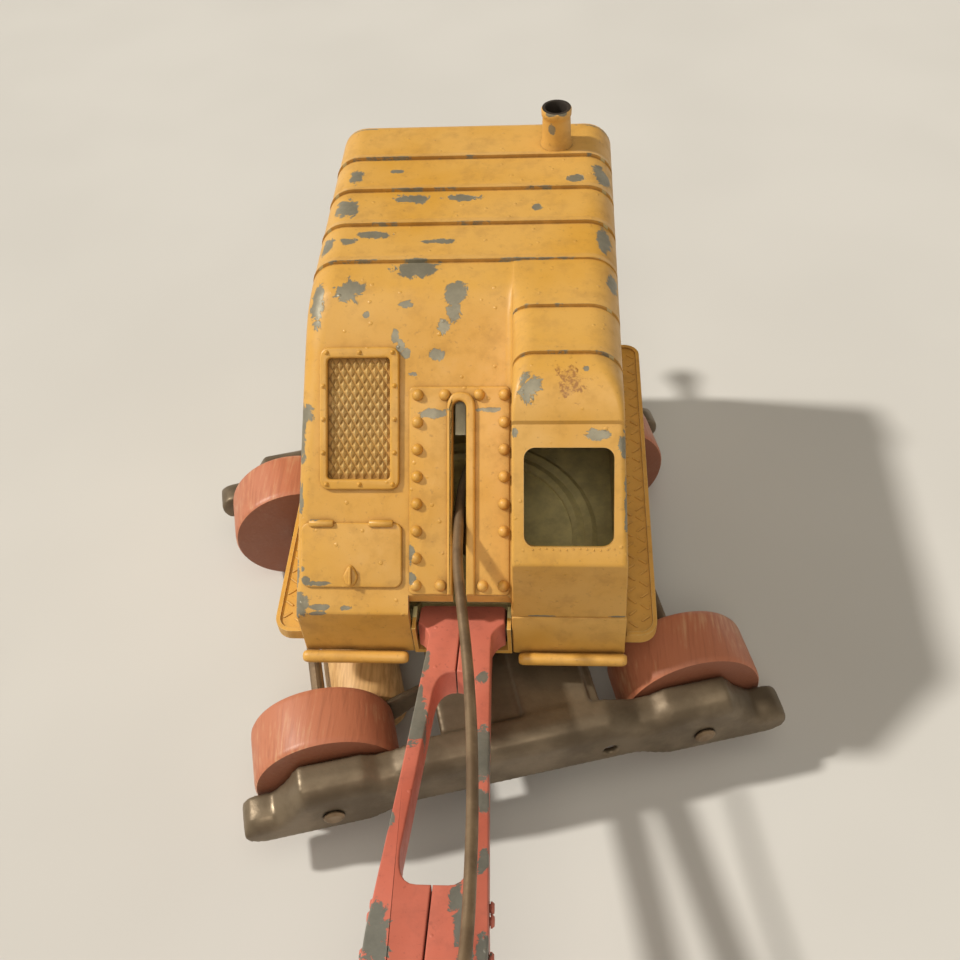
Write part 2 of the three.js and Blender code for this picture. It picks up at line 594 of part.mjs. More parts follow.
function stepBar(side) {
  const { radius, y, z, outer, inner } = STEP_BAR;
  const from = side > 0 ? inner : -outer;
  const to = side > 0 ? outer : -inner;
  const points = [[0, from], [radius * 0.6, from], [radius, from + 1.4], [radius, to - 1.4],
    [radius * 0.6, to], [0, to]];
  const lathe = new THREE.LatheGeometry(points.map(([r, t]) => new THREE.Vector2(r, t)), 14);
  const mesh = piece(side > 0 ? 'step_bar_right' : 'step_bar_left', lathe.rotateZ(-Math.PI / 2),
    YELLOW);
  return place(mesh, 0, y, z);
}

function house() {
  const group = new THREE.Group();
  group.add(houseShell(), basePlate(), exhaustStack(), stepBar(-1), stepBar(1));
  SCREWS.forEach(([x, y], i) => {
    const seat = DECK.bottom - GAP;
    const screw = solid(bar('z', SCREW_RADIUS, seat - 1, DECK.top + 8, 12))
      .add(solid(bar('z', 2.8, seat - 1.2, seat, 12)));
    group.add(place(piece(`floor_screw_${i + 1}`, screw, STEEL), x, y, 0));
  });
  const footPin = bar('x', BOOM_PIN_RADIUS, -NOTCH_HALF + GAP, NOTCH_HALF - GAP);
  group.add(place(piece('boom_foot_pin', footPin, STEEL), 0, FOOT.y, FOOT.z));
  const crankPinEnd = CRANK.lug + LUG_THICK + 1;
  const crankPin = bar('x', CRANK.pin, -crankPinEnd, crankPinEnd);
  group.add(place(piece('crank_pin', crankPin, STEEL), 0, CRANK.y, CRANK.z));
  // steel keeper behind the top of the control slot
  const keeper = outline([[-1.4, SLOT.top - 9], [1.4, SLOT.top - 9], [1.4, SLOT.top + 7],
    [-1.4, SLOT.top + 7]]);
  group.add(piece('slot_keeper', slab(keeper, -WALL - GAP - 0.9, -WALL - GAP, HOOD_PLANE, 1), ZINC));
  return group;
}

// ---------------------------------------------------------------- boom
// half width of the boom at a distance from its foot pin
function boomOutline() {
  const { head, heel, neck, wide, length, tip } = BOOM;
  const shape = new THREE.Shape();
  shape.moveTo(0, heel);
  shape.lineTo(head - 1, heel);
  shape.lineTo(head, heel - 1);
  shape.lineTo(head, -3.4);
  shape.quadraticCurveTo(neck + 0.4, -4.6, neck, -8);
  shape.lineTo(neck + 0.2, -20);
  shape.quadraticCurveTo(neck + 1.8, -58, wide - 0.6, -86);
  shape.lineTo(wide, -96);
  shape.lineTo(wide, -DIPPER_SLOT.to + 8);
  shape.quadraticCurveTo(tip + 1.5, -DIPPER_SLOT.to - 2, tip, -length + 2);
  shape.absarc(0, -length, tip, 0, -Math.PI / 2, true);
  return shape;
}

function openingShape() {
  const { from, to, nearHalf, farHalf } = OPENING;
  const shape = new THREE.Shape();
  shape.moveTo(0, -from);
  shape.quadraticCurveTo(nearHalf, -from, nearHalf + 0.3, -from - 6);
  shape.lineTo(farHalf, -to + 9);
  shape.quadraticCurveTo(farHalf, -to, farHalf - 5, -to);
  shape.lineTo(-farHalf + 5, -to);
  shape.quadraticCurveTo(-farHalf, -to, -farHalf, -to + 9);
  shape.lineTo(-nearHalf - 0.3, -from - 6);
  shape.quadraticCurveTo(-nearHalf, -from, 0, -from);
  return shape;
}

// cross rivets: distance from the foot pin, and half width of the boom there
const BOOM_RIVETS = [[88.2, 12.1], [91.3, 12.3], [99.8, 12.6]];
const RIVET = { radius: 0.9, head: 1.4 };

function boomHalf(name, side) {
  const { above, below, head, wide } = BOOM;
  let body = solid(slab(boomOutline(), -below, above, null, 8));
  body = body.subtract(solid(slab(openingShape(), -below - 1, above + 1, null, 5)));
  const { from, to, half } = DIPPER_SLOT;
  const dipperSlot = roundedRectangle(-half, half, -to, -from, half - 0.2);
  body = body.subtract(solid(slab(dipperSlot, -below - 1, above + 1, null, 4)));
  // fork for the sheave, and the hollow under the middle of the boom
  const fork = SHEAVE.width / 2 + 0.7;
  body = body.subtract(solid(box(-fork, fork, -SHEAVE.s - 20, -SHEAVE.s + SHEAVE.radius + 1.4,
    -below - 1, above + 1)));
  body = body.subtract(solid(box(2, wide - 2.4, -OPENING.to - 27, -OPENING.to - 17.5,
    -below - 1, above - 2.4)));
  body = body.subtract(solid(box(half + 2, wide - 2.2, -PIVOT_S + 5, -from, -below - 1,
    above - 2.4)));
  body = body.subtract(solid(box(-0.5, GAP / 2, -SHEAVE.s - 20, 20, -below - 1, above + 1)));
  body = body.subtract(solid(bar('x', BOOM_PIN_RADIUS + GAP, -1, head + 1)));
  for (const [s] of BOOM_RIVETS) {
    body = body.subtract(solid(bar('x', RIVET.radius + GAP, -1, wide + 1, 12).translate(0, -s, 0)));
  }
  body = body.subtract(solid(bar('x', PIVOT_PIN + GAP, -1, wide + 1).translate(0, -PIVOT_S, 0)));
  body = body.subtract(solid(bar('x', SHEAVE.pin + GAP, -1, wide + 1).translate(0, -SHEAVE.s, 0)));
  if (side > 0) return piece(name, body, RED);
  return piece(name, body.mirror([1, 0, 0]), RED);
}

function crossPin(name, radius, half, head, s, material) {
  const pin = headedPin(radius, half, head, 0.8).rotateZ(-Math.PI / 2);
  return place(piece(name, pin, material), 0, -s, 0);
}

// (y, z) of the rod stud from the dipper pivot, in the frame of the dipper
function studPlace() {
  const turn = STUD.angle - STICK.lean;
  return [STUD.radius * Math.sin(turn), STUD.radius * Math.cos(turn)];
}

function dipperStick() {
  const half = STICK.thick / 2;
  const w = STICK.width / 2;
  const horn = 3.6;
  const [sy, sz] = studPlace();
  // side outline (y, z): the stick hangs down -z, and its upper horn carries the rod stud
  const shape = new THREE.Shape();
  shape.moveTo(-w, -STICK.reach);
  shape.lineTo(w, -STICK.reach);
  shape.lineTo(w, -1);
  shape.lineTo(sy + horn, sz);
  shape.absarc(sy, sz, horn, 0, Math.PI);
  shape.lineTo(-w, 0);
  const holes = solid(bar('x', PIVOT_PIN + GAP, -9, 9))
    .add(solid(bar('x', STUD.pin + GAP, -9, 9).translate(0, sy, sz)))
    .add(solid(bar('x', BOLT.radius + GAP, -9, 9, 12).translate(0, 0, BOLT.z)));
  return piece('dipper_stick', solid(slab(shape, -half, half, SIDE_VIEW, 5)).subtract(holes), RED);
}

// stud through the horn: its inner head, the bush that the rod turns on, and its outer head
function rodStud() {
  const [sy, sz] = studPlace();
  const half = STICK.thick / 2;
  const head = STUD.pin + 2;
  const outerHead = ROD_X + ROD_RADIUS + GAP;
  const stud = solid(bar('x', STUD.pin, -half - 1, outerHead + 1))
    .add(solid(bar('x', head, outerHead, outerHead + 1.2)))
    .add(solid(bar('x', head - 0.6, -half - 1.2, -half - GAP)));
  const bore = STUD.pin + GAP / 2;
  const inner = half + GAP;
  const outer = outerHead - GAP;
  const profile = [[bore, inner], [STUD.pin + STUD.bush, inner], [STUD.pin + STUD.bush, outer],
    [bore, outer], [bore, inner]];
  const bush = new THREE.LatheGeometry(profile.map(([r, x]) => new THREE.Vector2(r, x)), ROUND);
  return [
    place(piece('rod_stud', stud, STEEL), 0, sy, sz),
    place(piece('rod_bush', bush.rotateZ(-Math.PI / 2), STEEL), 0, sy, sz),
  ];
}

function dipper() {
  const group = new THREE.Group();
  group.add(dipperStick(), ...rodStud(), ...bucket());
  group.rotation.x = BOOM_RISE - STICK.lean;
  return place(group, 0, -PIVOT_S, 0);
}

// Open box with a toothed lip towards -y, hung on the foot of the stick; its rear wall is a door.
function bucket() {
  const { half, depth, height, wall } = BUCKET;
  const roofZ = -STICK.reach - GAP;
  const floorZ = roofZ - height;
  const back = depth / 2;
  let shell = solid(box(-half, half, -back, back, floorZ, roofZ));
  shell = shell.subtract(solid(box(-half + wall, half - wall, -back - 1, back + 1, floorZ + wall,
    roofZ - wall)));
  // the mouth leans: the lip reaches further forward than the roof
  shell = shell.subtract(solid(slab(outline([
    [-back - 1, roofZ + 1], [-back + 5, roofZ + 1], [-back - 1, floorZ + 6]]),
  -half - 1, half + 1, SIDE_VIEW, 1)));
  const toothCount = 4;
  for (let i = 0; i < toothCount; i += 1) {
    const x = -half + 3 + i * (2 * half - 6) / (toothCount - 1);
    const tooth = outline([[-back - 5, floorZ + 0.4], [-back + 1, floorZ], [-back + 1, floorZ + 2.6]]);
    shell = shell.add(solid(slab(tooth, x - 1.5, x + 1.5, SIDE_VIEW, 1)));
  }
  // saddle that grips the foot of the stick from both sides
  const grip = STICK.thick / 2 + GAP;
  for (const side of [-1, 1]) {
    const x0 = side > 0 ? grip : -grip - 2;
    const ear = outline([[-5, roofZ - 1], [5, roofZ - 1], [4, roofZ + 9], [-4, roofZ + 9]]);
    shell = shell.add(solid(slab(ear, x0, x0 + 2, SIDE_VIEW, 1)));
  }
  const barrel = DOOR_PIN + 1;
  const hingeY = back + barrel + 0.5;
  const hingeZ = roofZ - DOOR_PIN;
  for (const side of [-1, 1]) {
    const x0 = side > 0 ? half - 4 : -half;
    shell = shell.add(solid(box(x0, x0 + 4, back - 1, hingeY + barrel, hingeZ - barrel, roofZ)));
  }
  shell = shell.subtract(solid(bar('x', DOOR_PIN + GAP, -half - 1, half + 1, 12)
    .translate(0, hingeY, hingeZ)));
  const doorFace = back + GAP;
  const doorHalf = half - 4 - GAP;
  let door = solid(box(-half + 0.2, half - 0.2, doorFace, doorFace + wall, floorZ + 0.2,
    hingeZ - 3.6));
  door = door.add(solid(box(-doorHalf, doorHalf, doorFace, doorFace + wall, hingeZ - 4, hingeZ)));
  door = door.add(solid(bar('x', barrel, -doorHalf, doorHalf, 12).translate(0, hingeY, hingeZ)));
  door = door.subtract(solid(bar('x', DOOR_PIN + GAP, -half - 1, half + 1, 12)
    .translate(0, hingeY, hingeZ)));
  const doorPin = bar('x', DOOR_PIN, -half - 0.6, half + 0.6, 12).translate(0, hingeY, hingeZ);
  const bolt = bar('x', BOLT.radius, -grip - 2.6, grip + 2.6, 12);
  const boltHole = bar('x', BOLT.radius + GAP, -grip - 4, grip + 4, 12).translate(0, 0, BOLT.z);
  return [
    piece('bucket', shell.subtract(solid(boltHole)), RED),
    piece('bucket_door', door, RED),
    piece('door_pin', doorPin, STEEL),
    place(piece('stick_bolt', bolt, STEEL), 0, 0, BOLT.z),
  ];
}

function boom() {
  const group = new THREE.Group();
  group.add(boomHalf('boom_half_right', 1), boomHalf('boom_half_left', -1));
  BOOM_RIVETS.forEach(([s, half], i) => {
    group.add(crossPin(`boom_rivet_${i + 1}`, RIVET.radius, half + GAP, RIVET.head, s, RED));
  });
  group.add(crossPin('dipper_pin', PIVOT_PIN, BOOM.wide + GAP, 3, PIVOT_S, STEEL));
  const { radius, width, s, pin } = SHEAVE;
  group.add(crossPin('sheave_pin', pin, BOOM.tip + GAP + 1, 2.6, s, STEEL));
  const rim = width / 2;
  const bore = pin + GAP;
  const groove = [[bore, -rim], [radius, -rim], [radius, -rim + 0.7], [radius - 2, 0],
    [radius, rim - 0.7], [radius, rim], [bore, rim], [bore, -rim]];
  const wheel = new THREE.LatheGeometry(groove.map(([x, y]) => new THREE.Vector2(x, y)), 24);
  group.add(place(piece('boom_sheave', wheel.rotateZ(-Math.PI / 2), ZINC), 0, -s, 0));
  group.add(dipper());
  group.rotation.x = -BOOM_RISE;
  return place(group, 0, FOOT.y, FOOT.z);
}

// ---------------------------------------------------------------- control linkage
// a point of the boom frame, as (y, z) of the house
function boomPoint(s, n) {
  return [
    FOOT.y - s * Math.cos(BOOM_RISE) + n * Math.sin(BOOM_RISE),
    FOOT.z + s * Math.sin(BOOM_RISE) + n * Math.cos(BOOM_RISE),
  ];
}

function controlRod() {
  const [pivotY, pivotZ] = boomPoint(PIVOT_S, 0);
  const eyeY = pivotY + STUD.radius * Math.sin(STUD.angle);
  const eyeZ = pivotZ + STUD.radius * Math.cos(STUD.angle);
  const eyeRadius = 4.4;
  // from the eye beside the stick, over the boom and through the slot, to the foot of the crank
  const route = [
    [ROD_X, eyeY + 3.6, eyeZ - 0.6], [ROD_X + 0.9, eyeY + 11, eyeZ - 2.2],
    [8.2, -112, 96.2], [9, -96.6, 90.6], [8.8, -77, 87.2], [7.9, -57.9, 84.3], [6.1, -37.2, 81.9],
    [4.2, -22, 81.2], [2.1, -8, 80.7], [0.5, 4.6, 80.2], [0, 16, 79.6], [0, 30, 78.6],
    [1.4, 40, 77], [3.3, 50, 73.6], [3.3, CRANK.y - 3, CRANK.z - CRANK.drop],
  ].map((p) => new THREE.Vector3(...p));
  let body = solid(tube(route, ROD_RADIUS, 48));
  const eye = bar('x', eyeRadius, ROD_X - ROD_RADIUS, ROD_X + ROD_RADIUS).translate(0, eyeY, eyeZ);
  const bore = bar('x', STUD.pin + STUD.bush + GAP, 0, 12).translate(0, eyeY, eyeZ);
  body = body.add(solid(eye)).subtract(solid(bore));
  return piece('control_rod', body, STEEL);
}

function crank() {
  const half = CRANK.thick / 2;
  const { dip, handle, drop } = CRANK;
  const wide = 2.6;
  const end = [handle * Math.cos(dip), -handle * Math.sin(dip)];
  // side outline (y, z) about the pivot: a drop arm to the rod and a long arm to the rear
  const shape = new THREE.Shape();
  shape.moveTo(-3, -drop - 3);
  shape.lineTo(3, -drop - 3);
  shape.lineTo(4, -6);
  shape.lineTo(end[0], end[1] - wide);
  shape.lineTo(end[0], end[1] + wide);
  shape.lineTo(4, 4.6);
  shape.absarc(0, 0, 6, Math.PI / 4, Math.PI);
  const plate = solid(slab(shape, -half, half, SIDE_VIEW, 5))
    .subtract(solid(bar('x', CRANK.pin + GAP, -5, 5)));
  // ball knob slotted over the end of the long arm
  const socket = box(-half - GAP, half + GAP, -KNOB_RADIUS - 1, 1.6 + GAP, -wide - 1, wide + 1);
  const knob = solid(new THREE.SphereGeometry(KNOB_RADIUS, 18, 12)).subtract(solid(socket));
  const group = new THREE.Group();
  group.add(piece('crank_lever', plate, ZINC));
  group.add(place(piece('lever_knob', knob, RED), 0, end[0] - 1.6, end[1]));
  return place(group, 0, CRANK.y, CRANK.z);
}

// ---------------------------------------------------------------- assembly
const shovel = new THREE.Group();
shovel.add(undercarriage(), house(), boom(), controlRod(), crank());
shovel.updateMatrixWorld(true);
const bounds = new THREE.Box3().setFromObject(shovel, true);
const centre = bounds.getCenter(new THREE.Vector3());
shovel.position.set(-centre.x, -centre.y, -bounds.min.z);
shovel.updateMatrixWorld(true);

export default shovel;
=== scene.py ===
"""The looks of the toy power shovel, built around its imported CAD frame.

Everything is in metres at the end. Sizes are written in millimetres in local frames:
house (front wall at y = 0, ground at z = 0), hood and glass (x, distance up the slope, height
above it) and boom (foot pin at the origin, boom along -y).
"""
import math

import bmesh
import bpy
from mathutils import Matrix, Vector


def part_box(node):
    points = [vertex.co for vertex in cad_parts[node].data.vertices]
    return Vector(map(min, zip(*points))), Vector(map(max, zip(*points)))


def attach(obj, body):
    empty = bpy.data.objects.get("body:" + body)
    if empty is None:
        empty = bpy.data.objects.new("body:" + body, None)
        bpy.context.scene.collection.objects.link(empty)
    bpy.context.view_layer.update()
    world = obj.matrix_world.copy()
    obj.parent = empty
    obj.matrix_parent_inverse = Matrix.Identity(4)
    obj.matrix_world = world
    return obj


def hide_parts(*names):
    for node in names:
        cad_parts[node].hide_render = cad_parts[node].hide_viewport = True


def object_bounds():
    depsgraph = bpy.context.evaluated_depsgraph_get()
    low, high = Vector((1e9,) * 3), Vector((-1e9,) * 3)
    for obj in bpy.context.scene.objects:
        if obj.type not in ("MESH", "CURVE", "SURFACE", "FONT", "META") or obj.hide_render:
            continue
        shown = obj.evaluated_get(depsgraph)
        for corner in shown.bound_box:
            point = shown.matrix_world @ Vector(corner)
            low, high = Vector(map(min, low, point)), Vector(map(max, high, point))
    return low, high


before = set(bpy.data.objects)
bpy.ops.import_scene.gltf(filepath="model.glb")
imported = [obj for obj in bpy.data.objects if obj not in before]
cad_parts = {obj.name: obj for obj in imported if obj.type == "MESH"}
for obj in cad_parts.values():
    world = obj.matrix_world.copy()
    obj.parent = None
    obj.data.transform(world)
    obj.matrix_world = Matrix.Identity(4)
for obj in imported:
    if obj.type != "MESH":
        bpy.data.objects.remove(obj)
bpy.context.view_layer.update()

MM = 0.001
RAD = math.pi / 180

# ------------------------------------------------------------------ local frames
SKIRT_Z = 43.9
BELT_Z = 61.84
HOOD_SLOPE = 41.5 * RAD
GLASS_SLOPE = 46 * RAD
SILL_Z = 84
BOOM_RISE = 15 * RAD
CHASSIS_YAW = 0.255


def middle(node):
    low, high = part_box(node)
    return (low + high) / 2


house_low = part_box("house_shell")[0]
GROUND = house_low.z - SKIRT_Z * MM
HOUSE = Matrix.Translation((0, house_low.y, GROUND)) @ Matrix.Scale(MM, 4)
BOOM = (Matrix.Translation(middle("boom_foot_pin")) @ Matrix.Rotation(-BOOM_RISE, 4, "X")
        @ Matrix.Scale(MM, 4))
IDENTITY = Matrix.Identity(4)


def quarter(axis):
    return Matrix.Rotation(math.pi / 2, 4, axis)


def slope_frame(z, slope):
    """(x, distance up a slope that starts at the front wall, height above the slope)"""
    return HOUSE @ Matrix.Translation((0, 0, z)) @ Matrix.Rotation(slope, 4, "X")


HOOD = slope_frame(BELT_Z, HOOD_SLOPE)
GLASS = slope_frame(SILL_Z, GLASS_SLOPE)

# ------------------------------------------------------------------ camera
EYE = (26.789, -164.641, 304.48)
EYE_YAW = -0.110678
EYE_PITCH = 0.847677
EYE_ROLL = -0.082067
LENS = 40.81


def make_camera():
    data = bpy.data.cameras.new("camera")
    data.lens = LENS
    data.sensor_width = 36
    data.clip_start = 0.01
    data.clip_end = 50
    camera = bpy.data.objects.new("camera", data)
    bpy.context.scene.collection.objects.link(camera)
    turn = Matrix.Rotation(-EYE_YAW, 4, "Z") @ Matrix.Rotation(math.pi / 2 - EYE_PITCH, 4, "X")
    turn = turn @ Matrix.Rotation(EYE_ROLL, 4, "Z")
    camera.matrix_world = Matrix.Translation(HOUSE @ Vector(EYE)) @ turn
    bpy.context.scene.camera = camera


# ------------------------------------------------------------------ shader helpers
class Shader:
    """A small wrapper that adds nodes to one material."""

    def __init__(self, name):
        self.material = bpy.data.materials.new(name)
        self.material.use_nodes = True
        self.tree = self.material.node_tree
        self.bsdf = self.tree.nodes["Principled BSDF"]
        self.coords = self.node("ShaderNodeTexCoord").outputs["Object"]

    def node(self, kind, **settings):
        node = self.tree.nodes.new(kind)
        for key, value in settings.items():
            setattr(node, key, value)
        return node

    def link(self, source, target):
        if hasattr(source, "links"):
            self.tree.links.new(source, target)
        else:
            target.default_value = source

    def math(self, operation, a, b=0.0, c=0.0):
        node = self.node("ShaderNodeMath", operation=operation)
        for value, socket in zip((a, b, c), node.inputs):
            self.link(value, socket)
        return node.outputs[0]

    def noise(self, scale, detail=3.0, rough=0.55, stretch=(1, 1, 1), distortion=0.0, shift=(0, 0, 0)):
        place = self.node("ShaderNodeMapping")
        place.inputs["Scale"].default_value = stretch
        place.inputs["Location"].default_value = shift
        self.link(self.coords, place.inputs["Vector"])
        node = self.node("ShaderNodeTexNoise")
        self.link(place.outputs[0], node.inputs["Vector"])
        node.inputs["Scale"].default_value = scale
        node.inputs["Detail"].default_value = detail
        node.inputs["Roughness"].default_value = rough
        node.inputs["Distortion"].default_value = distortion
        return node.outputs["Fac"]

    def ramp(self, value, low, high, start=0.0, end=1.0):
        node = self.node("ShaderNodeMapRange", interpolation_type="SMOOTHSTEP")
        self.link(value, node.inputs["Value"])
        node.inputs["From Min"].default_value = low
        node.inputs["From Max"].default_value = high
        node.inputs["To Min"].default_value = start
        node.inputs["To Max"].default_value = end
        return node.outputs["Result"]

    def mix(self, factor, a, b, blend="MIX"):
        node = self.node("ShaderNodeMix", data_type="RGBA", blend_type=blend)
        self.link(factor, node.inputs["Factor"])
        for value, name in ((a, "A"), (b, "B")):
            socket = [s for s in node.inputs if s.name == name and s.type == "RGBA"][0]
            self.link(value if hasattr(value, "links") else (*value, 1.0), socket)
        return [s for s in node.outputs if s.type == "RGBA"][0]

    def edge(self, radius):
        """0 on flat stretches, towards 1 where the surface turns within a radius"""
        bevel = self.node("ShaderNodeBevel", samples=6)
        bevel.inputs["Radius"].default_value = radius
        geometry = self.node("ShaderNodeNewGeometry")
        dot = self.node("ShaderNodeVectorMath", operation="DOT_PRODUCT")
        self.link(bevel.outputs[0], dot.inputs[0])
        self.link(geometry.outputs["Normal"], dot.inputs[1])
        return self.math("SUBTRACT", 1.0, dot.outputs["Value"])

    def hollow(self, distance):
        """0 in the open, towards 1 in corners and under ledges"""
        node = self.node("ShaderNodeAmbientOcclusion", samples=6)
        node.inputs["Distance"].default_value = distance
        return self.math("SUBTRACT", 1.0, node.outputs["AO"])

    def spots(self, places, wobble):
        """largest of a few soft blobs: x, y, z, half width, half length, maybe half height (metres)"""
        total = -3.0
        for x, y, z, half_x, half_y, *half_z in places:
            shift = self.node("ShaderNodeVectorMath", operation="SUBTRACT")
            self.link(self.coords, shift.inputs[0])
            shift.inputs[1].default_value = (x, y, z)
            size = self.node("ShaderNodeVectorMath", operation="DIVIDE")
            self.link(shift.outputs[0], size.inputs[0])
            deep = half_z[0] if half_z else max(half_x, half_y) * 1.2
            size.inputs[1].default_value = (half_x, half_y, deep)
            length = self.node("ShaderNodeVectorMath", operation="LENGTH")
            self.link(size.outputs[0], length.inputs[0])
            blob = self.math("SUBTRACT", 1.0, length.outputs["Value"])
            total = self.math("MAXIMUM", total, blob)
        return self.ramp(self.math("ADD", total, wobble), 0.0, 0.06)

    def bump(self, height, strength, distance, normal=None):
        node = self.node("ShaderNodeBump")
        node.inputs["Strength"].default_value = strength
        node.inputs["Distance"].default_value = distance
        self.link(height, node.inputs["Height"])
        if normal is not None:
            self.link(normal, node.inputs["Normal"])
        return node.outputs[0]

    def finish(self, color, roughness, metallic, normal):
        self.link(color if hasattr(color, "links") else (*color, 1.0), self.bsdf.inputs["Base Color"])
        self.link(roughness, self.bsdf.inputs["Roughness"])
        self.link(metallic, self.bsdf.inputs["Metallic"])
        self.link(normal, self.bsdf.inputs["Normal"])
        return self.material


def enamel(name, base, warm, grime_and_shade, bare, threshold, places=(), lines=(), edge_wear=2.6, raw=None,
           stains=()):
    """Old enamel over bare metal: mottled, darkened by painted shade in corners, chipped along edges and
    in patches.

    lines are (y, half width, lowest x, lowest z) of crests worn through in dashes, raw is
    (half width, first y, last y) of a middle part that was never painted, and stains are
    rusty blobs like places. All are in metres.
    """
    s = Shader(name)
    blotch = s.noise(26, 4)
    mottle = s.noise(170, 5, 0.65)
    fine = s.noise(1500, 3)
    color = s.mix(s.ramp(blotch, 0.35, 0.68), base, warm)
    speck = s.ramp(s.noise(620, 4, 0.7, shift=(3, 1, 2)), 0.60, 0.70)
    color = s.mix(s.math("MULTIPLY", speck, 0.35), color, grime_and_shade)
    color = s.mix(s.ramp(mottle, 0.45, 0.75, 0.0, 0.28), color, grime_and_shade)
    # painted shade: ambient occlusion darkens corners and places under ledges towards the dark grime
    # colour, broken up by mottle; the same mask also makes them rougher
    corner = s.hollow(0.0035)
    corner_shade_and_grime = s.math("MULTIPLY", s.ramp(corner, 0.12, 0.62), s.ramp(mottle, 0.25, 0.6, 0.45, 1.0))
    color = s.mix(s.math("MULTIPLY", corner_shade_and_grime, 0.75), color, grime_and_shade)
    # chips
    ragged = s.math("SUBTRACT", s.noise(330, 6, 0.68, distortion=0.4, shift=(5, 2, 8)), 0.5)
    edge = s.math("MULTIPLY", s.edge(0.0006), s.ramp(corner, 0.1, 0.5, 1.0, 0.0))
    patchy = s.math("SUBTRACT", s.noise(42, 3, shift=(9, 4, 1)), 0.5)
    worn = s.math("ADD", s.math("MULTIPLY", ragged, 1.1), s.math("MULTIPLY", patchy, 0.9))
    worn = s.math("ADD", worn, s.math("MULTIPLY", edge, edge_wear))
    chip = s.ramp(worn, threshold, threshold + 0.03)
    if places:
        jagged = s.math("SUBTRACT", s.noise(210, 8, 0.72, distortion=0.9, shift=(1, 6, 4)), 0.5)
        chip = s.math("MAXIMUM", chip, s.spots(places, s.math("MULTIPLY", jagged, 3.4)))
    split = s.node("ShaderNodeSeparateXYZ")
    s.link(s.coords, split.inputs[0])
    if lines:
        near = 0.0
        wander = s.math("MULTIPLY", s.math("SUBTRACT", s.noise(380, 5, 0.7), 0.42), 0.0016)
        for y, half, low_x, low_z in lines:
            away = s.math("ADD", s.math("ABSOLUTE", s.math("SUBTRACT", split.outputs["Y"], y)), wander)
            here = s.math("MULTIPLY", s.ramp(away, half * 0.7, half, 1.0, 0.0),
                          s.math("GREATER_THAN", split.outputs["X"], low_x))
            here = s.math("MULTIPLY", here, s.math("GREATER_THAN", split.outputs["Z"], low_z))
            near = s.math("MAXIMUM", near, here)
        dash = s.ramp(s.noise(60, 4, 0.6, stretch=(1, 0.5, 0.4), shift=(2, 7, 3)), 0.53, 0.56)
        chip = s.math("MAXIMUM", chip, s.math("MULTIPLY", near, dash))
    if raw:
        across = s.math("LESS_THAN", s.math("ABSOLUTE", split.outputs["X"]), raw[0])
        behind = s.math("GREATER_THAN", split.outputs["Y"], raw[1])
        before = s.math("LESS_THAN", split.outputs["Y"], raw[2])
        chip = s.math("MAXIMUM", chip, s.math("MULTIPLY", s.math("MULTIPLY", across, behind), before))
    if stains:
        rust = s.spots(stains, s.math("MULTIPLY", ragged, 5.0))
        flecks = s.ramp(s.noise(1100, 4, 0.7, shift=(4, 4, 1)), 0.42, 0.58, 0.15, 0.8)
        color = s.mix(s.math("MULTIPLY", rust, flecks), color, (0.26, 0.10, 0.022))
    rim = s.math("MULTIPLY", s.ramp(worn, threshold - 0.05, threshold - 0.01), 0.35)
    color = s.mix(rim, color, grime_and_shade)
    metal = s.mix(s.ramp(mottle, 0.3, 0.7), bare, [c * 0.72 for c in bare])
    color = s.mix(chip, color, metal)
    roughness = s.math("ADD", s.ramp(mottle, 0.3, 0.7, 0.36, 0.52), s.math("MULTIPLY", corner_shade_and_grime, 0.25))
    metallic = s.math("MULTIPLY", chip, 0.0 if raw else 0.35)
    height = s.math("ADD", s.math("MULTIPLY", chip, -1.0), s.math("MULTIPLY", mottle, 0.5))
    height = s.math("ADD", height, s.math("MULTIPLY", fine, 0.25))
    pimple = s.node("ShaderNodeTexVoronoi", feature="F1")
    s.link(s.coords, pimple.inputs["Vector"])
    pimple.inputs["Scale"].default_value = 210
    dot = s.ramp(pimple.outputs["Distance"], 0.05, 0.13, 1.6, 0.0)
    height = s.math("ADD", height, dot)
    normal = s.bump(height, 0.55, 0.00016)
    return s.finish(color, roughness, metallic, normal)


def cast_metal(name, light, dark, rough=(0.3, 0.5), metallic=0.75, scale=1.0):
    """Tarnished bare casting, mottled in tone and gloss, darkened in its hollows by painted shade."""
    s = Shader(name)
    mottle = s.noise(55 * scale, 5, 0.6)
    grain = s.noise(900, 4, 0.7)
    # painted shade: ambient occlusion darkens the hollows towards a deep brown
    corner = s.ramp(s.hollow(0.006), 0.15, 0.7)
    color = s.mix(s.ramp(mottle, 0.35, 0.65), light, dark)
    color = s.mix(s.math("MULTIPLY", corner, 0.6), color, [c * 0.35 for c in dark])
    roughness = s.ramp(mottle, 0.3, 0.7, *rough)
    height = s.math("ADD", s.math("MULTIPLY", grain, 0.5), s.math("MULTIPLY", mottle, 1.5))
    return s.finish(color, roughness, metallic, s.bump(height, 0.35, 0.0003))


